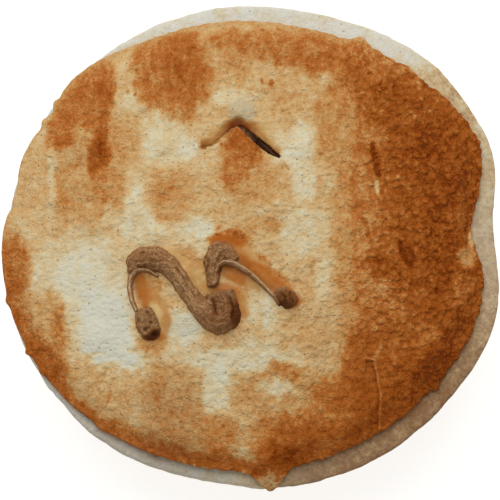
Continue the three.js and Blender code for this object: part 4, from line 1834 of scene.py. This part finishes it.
@dataclass(frozen=True)
class LidFinish:
    """Baked lid crust, from floury white over cream and gold to dark brown, with amber juice."""

    gain: float = 1.03
    tones: Ramp = (
        (0.00, (191, 189, 174)), (0.08, (194, 186, 158)), (0.16, (193, 173, 134)), (0.25, (190, 158, 111)),
        (0.35, (182, 141, 90)), (0.45, (175, 124, 71)), (0.55, (166, 104, 51)), (0.65, (156, 90, 39)),
        (0.75, (146, 80, 31)), (0.85, (137, 71, 24)), (0.95, (126, 62, 19)), (1.00, (112, 52, 14)),
    )
    juice_gain: float = 1.02
    juice: Ramp = (
        (0.00, (204, 176, 124)), (0.3, (177, 140, 86)), (0.65, (162, 99, 40)), (1.00, (146, 77, 20)),
    )
    roll: Ramp = (
        (0.0, (192, 162, 110)), (0.4, (177, 137, 82)), (0.7, (153, 104, 55)), (1.0, (122, 62, 26)),
    )
    # Dark of the slot's cut walls and floor: partly moist filling, partly painted shade
    wall: Tone = (100, 74, 56)
    pore: Tone = (138, 92, 54)

    def material(self) -> bpy.types.Material:
        """Browning ramp with lumps, fine mottling, pores and grain, partly painted light that follows the
        fine relief, then juice and the vent's roll.

        Returns:
            The material.
        """
        sheet = NodeSheet("baked_crust")
        names = ("bake", "rugged", "crumbly", "juice", "tone", "roll", "cut")
        bake, rugged, crumbly, wet, tone, roll, cut = map(sheet.attribute, names)
        fine = sheet.noise(0.95, 2.0, 0.6)
        grain = sheet.noise(0.45, 1.0, 0.5)
        coarse = sheet.noise(2.6, 3.0, 0.6)
        folds = sheet.noise(2.0, 2.0, 0.5, (0.8, 1.0, 1.0))
        lump = sheet.bubbles(1.6, 1.0)
        pores = sheet.spots(1.3, 0.2, 0.6)

        # Colour, partly painted light: paler on the bumps, lumps and bubbles of the relief, browner in its
        # pits and seams
        mottle = sheet.plus(sheet.swing(fine, 0.08, -0.08), sheet.swing(coarse, -0.06, 0.06),
                            sheet.swing(folds, 0.06, -0.06))
        mottle = sheet.times(mottle, sheet.by(rugged, 1.0, 0.6), crumbly)
        speckle = sheet.times(sheet.swing(grain, 0.07, -0.07), sheet.remap(crumbly, 0.65, 1.0, 1.5, 1.0),
                              sheet.by(rugged, 1.0, 0.5))
        # Pale flecks on the raised grain of the cobbled crust: painted highlights
        fleck_highlights = sheet.times(rugged, sheet.remap(grain, 0.5, 0.75, 0.03, -0.13))
        mottle = sheet.times(sheet.plus(mottle, speckle, fleck_highlights), sheet.remap(bake, 0.1, 0.6, 0.35, 1.0))
        patch = sheet.remap(sheet.noise(5.0, 2.0, 0.5), 0.35, 0.65, 0.1, -0.02)
        creases = sheet.times(rugged, sheet.plus(sheet.remap(lump, 0.5, 1.0, 0.03, -0.12), patch))
        colour = sheet.ramp(sheet.plus(bake, mottle, creases), self.tones, self.gain)
        colour = sheet.mix(sheet.times(pores, 0.7), colour, linear(self.pore))
        stain = sheet.ramp(sheet.plus(tone, sheet.swing(coarse, -0.14, 0.14)), self.juice, self.juice_gain)
        colour = sheet.mix(sheet.times(wet, 0.9), colour, stain)
        # The vent's rolled crust: browning and painted shade, darkest at the crease
        colour = sheet.mix(sheet.remap(roll, 0.0, 0.55, 0.0, 1.0), colour, sheet.ramp(roll, self.roll, 1.0))
        # Dark of the cut walls and of the painted shade patches, both read from the cut value
        colour = sheet.mix(cut, colour, linear(self.wall))

        # Surface and fine relief
        rough = sheet.plus(sheet.remap(bake, 0.1, 0.9, 0.85, 0.62), sheet.swing(fine, -0.06, 0.06),
                           sheet.times(wet, -0.3))
        sheet.surface({"Base Color": colour, "Roughness": rough, "Specular IOR Level": 0.05,
                       "Coat Weight": sheet.times(wet, 0.08), "Coat Roughness": 0.3})
        dry = sheet.times(sheet.by(wet, 1.0, 0.15), sheet.remap(roll, 0.0, 0.6, 1.0, 0.3),
                          sheet.remap(bake, 0.05, 0.3, 0.7, 1.0), sheet.remap(crumbly, 0.65, 1.0, 0.85, 1.0))
        grit = sheet.times(sheet.plus(fine, sheet.times(grain, 0.6), -0.8), dry, sheet.by(rugged, 1.0, 0.45))
        folded = sheet.times(sheet.plus(folds, -0.5), dry, sheet.by(rugged, 1.0, 0.35))
        bubbled = sheet.times(sheet.plus(lump, -0.6), sheet.by(rugged, 0.55, 1.2), dry)
        sheet.bump(((grit, 0.42), (folded, 0.42), (bubbled, 0.46), (pores, -0.08)))
        return sheet.material


@dataclass(frozen=True)
class CaseFinish:
    """Pale floury pastry, toasted tan on the near side and golden on the wall, its rim greyed by painted
    shade at the near side and on the right.
    """

    gain: float = 0.97
    tones: Ramp = (
        (0.00, (204, 202, 192)), (0.15, (200, 190, 164)), (0.3, (194, 170, 128)), (0.45, (176, 147, 110)),
        (0.6, (158, 127, 92)), (0.8, (138, 106, 76)), (1.00, (138, 92, 52)),
    )
    wall: Ramp = (
        (0.00, (214, 198, 160)), (0.35, (204, 172, 120)), (0.65, (190, 146, 88)), (1.00, (164, 110, 56)),
    )
    # Grey of the painted shade on the rim
    rim_shade: Tone = (170, 160, 145)
    speck: Tone = (112, 82, 56)
    moist: Tone = (150, 112, 84)

    def material(self) -> bpy.types.Material:
        """Toasting ramp with floury blotches, specks and grain, and painted shade greying the rim.

        Returns:
            The material.
        """
        sheet = NodeSheet("pale_pastry")
        toast, rim_shade, wall, moist = map(sheet.attribute, ("toast", "rim_shade", "wall", "moist"))
        fine, coarse = sheet.noise(1.0, 5.0, 0.65), sheet.noise(4.0, 4.0, 0.6)
        spread = sheet.plus(sheet.swing(fine, -0.17, 0.17), sheet.swing(coarse, -0.13, 0.13))
        spread = sheet.times(spread, sheet.remap(toast, 0.0, 0.5, 0.35, 1.0))
        colour = sheet.ramp(sheet.plus(toast, spread), self.tones, self.gain)
        # Painted shade on the rim, broken up by noise
        rim_shade_cover = sheet.times(rim_shade, sheet.remap(fine, 0.3, 0.6, 0.6, 1.0))
        colour = sheet.mix(rim_shade_cover, colour, linear(self.rim_shade, self.gain))
        baked = sheet.plus(sheet.swing(sheet.noise(14.0, 3.0, 0.6), 0.1, 0.8), spread)
        colour = sheet.mix(wall, colour, sheet.ramp(baked, self.wall, self.gain))
        colour = sheet.mix(sheet.times(sheet.spots(1.8, 0.17, 0.6), 0.5), colour, linear(self.speck))
        colour = sheet.mix(moist, colour, linear(self.moist))
        sheet.surface({"Base Color": colour, "Roughness": sheet.by(moist, 0.85, 0.4),
                       "Specular IOR Level": 0.1, "Coat Weight": sheet.times(moist, 0.8),
                       "Coat Roughness": 0.15})
        shreds = sheet.times(sheet.noise(1.2, 3.0, 0.6), moist)
        sheet.bump(((fine, 0.45), (sheet.noise(0.4, 3.0, 0.6), 0.06), (shreds, 1.2)))
        return sheet.material


@dataclass(frozen=True)
class PipedFinish:
    """Baked piped dough: rough grey-brown bead, thin pale ridges whose crests are partly a painted highlight,
    and char.
    """

    gain: float = 1.2
    bead: Ramp = (
        (0.00, (84, 54, 31)), (0.3, (123, 88, 58)), (0.6, (152, 112, 74)), (1.00, (204, 170, 124)),
    )
    ridge: Tone = (152, 102, 58)
    # Pale crest of the thin ridges, partly a painted highlight
    crest_and_highlight: Tone = (206, 178, 138)
    fleck: Tone = (218, 196, 164)
    foot: Tone = (142, 92, 50)
    browned: Tone = (112, 60, 23)
    char: Tone = (58, 28, 10)

    def material(self) -> bpy.types.Material:
        """Bead ramp by stored and fine noise, paler on raised crumb, fibres and grain as painted light, with
        pale flecks and ridges, browner feet, and charred spots and painted shade in the grooves.

        Returns:
            The material.
        """
        sheet = NodeSheet("piped_pastry")
        crumb, foot, ridge, crest_and_highlight, char = map(sheet.attribute, ("crumb", "foot", "ridge", "crest_and_highlight", "char"))
        fine = sheet.noise(0.32, 4.0, 0.75)
        rubbed = sheet.plus(sheet.times(crumb, 0.32), sheet.swing(fine, 0.08, 0.66))
        colour = sheet.ramp(rubbed, self.bead, self.gain)
        pale = sheet.times(crest_and_highlight, sheet.remap(sheet.noise(1.4), 0.38, 0.6, 0.15, 1.0), ridge)
        layers = (
            (sheet.times(foot, 0.5), linear(self.foot, self.gain)),
            (sheet.times(sheet.spots(0.9, 0.28, 0.7), 0.75), linear(self.fleck)),
            (sheet.times(ridge, 0.9), linear(self.ridge, self.gain)),
            (pale, linear(self.crest_and_highlight, self.gain)),
            (sheet.remap(char, 0.0, 0.55, 0.0, 0.9), linear(self.browned)),
            (sheet.remap(char, 0.5, 1.0, 0.0, 0.95), linear(self.char)),
        )
        for cover, tone in layers:
            colour = sheet.mix(cover, colour, tone)
        sheet.surface({"Base Color": colour, "Roughness": sheet.swing(fine, 0.6, 0.8),
                       "Specular IOR Level": 0.1})
        sheet.bump(((fine, 0.45),))
        return sheet.material


@dataclass(frozen=True)
class FloorFinish:
    """Plain pale studio floor."""

    glow: Tone = (250, 249, 247)
    glow_strength: float = 0.86
    body: Tone = (150, 149, 147)
    cloud: Tone = (130, 129, 127)

    def material(self) -> bpy.types.Material:
        """A matt near-white with the faintest mottling.

        Returns:
            The material.
        """
        sheet = NodeSheet("studio_floor")
        clouded = sheet.swing(sheet.noise(60.0, 2.0, 0.5), 0.0, 0.04)
        colour = sheet.mix(clouded, linear(self.body), linear(self.cloud))
        sheet.surface({"Base Color": colour, "Roughness": 0.9, "Specular IOR Level": 0.1,
                       "Emission Color": linear(self.glow), "Emission Strength": self.glow_strength})
        return sheet.material


@dataclass(frozen=True)
class Studio:
    """Floor, soft light from the far side, and the camera above the near edge. Metres and degrees."""

    elevation: float = 80.0
    distance: float = 0.4
    target: tuple[float, float, float] = (0.0001, -0.0017, 0.031)
    frame_width: float = 0.12072
    sensor: float = 36.0
    nearest: float = 0.01
    floor_half: float = 1.5
    lamp_power: float = 6.0
    lamp_size: float = 0.8
    lamp_place: tuple[float, float, float] = (-0.06, 0.42, 0.7)
    lamp_turn: tuple[float, float, float] = (-31.0, 0.0, 8.0)
    fill: float = 0.5
    fill_colour: tuple[float, float, float, float] = (1.0, 0.985, 0.96, 1.0)

    def build_floor(self) -> None:
        """A level square at the height of the pie's foot."""
        half = self.floor_half / MM
        corners = np.array([[-half, -half, 0.0], [half, -half, 0.0], [half, half, 0.0], [-half, half, 0.0]])
        floor = mesh_piece("studio_floor", corners, (np.array([[0, 1, 2, 3]]),))
        floor.data.materials.append(FloorFinish().material())

    def build_light(self) -> None:
        """A broad soft lamp above the far side and an even pale surround."""
        lamp = bpy.data.lights.new("soft_window", "AREA")
        lamp.shape = "DISK"
        lamp.size = self.lamp_size
        lamp.energy = self.lamp_power
        holder = bpy.data.objects.new("soft_window", lamp)
        holder.location = self.lamp_place
        holder.rotation_euler = np.radians(self.lamp_turn)
        bpy.context.scene.collection.objects.link(holder)
        world = bpy.data.worlds.new("pale_surround")
        world.use_nodes = True
        surround = world.node_tree.nodes["Background"]
        surround.inputs["Color"].default_value = self.fill_colour
        surround.inputs["Strength"].default_value = self.fill
        bpy.context.scene.world = world

    def build_camera(self) -> None:
        """A long lens at the photograph's height and angle, framing the pie edge to edge."""
        lens = bpy.data.cameras.new("overhead")
        lens.sensor_width = self.sensor
        lens.lens = self.sensor * self.distance / self.frame_width
        lens.clip_start = self.nearest
        camera = bpy.data.objects.new("overhead", lens)
        tilt = math.radians(self.elevation)
        x, y, z = self.target
        camera.location = (x, y - self.distance * math.cos(tilt), z + self.distance * math.sin(tilt))
        camera.rotation_euler = (0.5 * math.pi - tilt, 0.0, 0.0)
        bpy.context.scene.collection.objects.link(camera)
        bpy.context.scene.camera = camera
        bpy.context.scene.view_settings.view_transform = "Standard"


def adopt(piece: Piece, node: str, material: bpy.types.Material) -> None:
    """Gives a piece its material, and sets it on the body in place of its node.

    Args:
        piece: The finished piece.
        node: The node that it stands for.
        material: Its material.
    """
    piece.data.materials.clear()
    piece.data.materials.append(material)
    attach(piece, BODY)
    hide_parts(node)
    LOG.info("%s stands for %s with %d faces", piece.name, node, len(piece.data.polygons))


def main() -> None:
    """Builds the pie's pieces in order, then the studio."""
    logging.basicConfig(level=logging.INFO, format="%(name)s: %(message)s")
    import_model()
    crown, vent = Crown(), Vent()
    lid = Lid(crown, vent)
    adopt(Case(crown, vent).build(), "pastry_case", CaseFinish().material())
    adopt(lid.build(), "pastry_lid", LidFinish().material())
    adopt(PipedLine().build(lid), "piped_zigzag", PipedFinish().material())
    studio = Studio()
    studio.build_floor()
    studio.build_light()
    studio.build_camera()


if __name__ == "__main__":
    main()
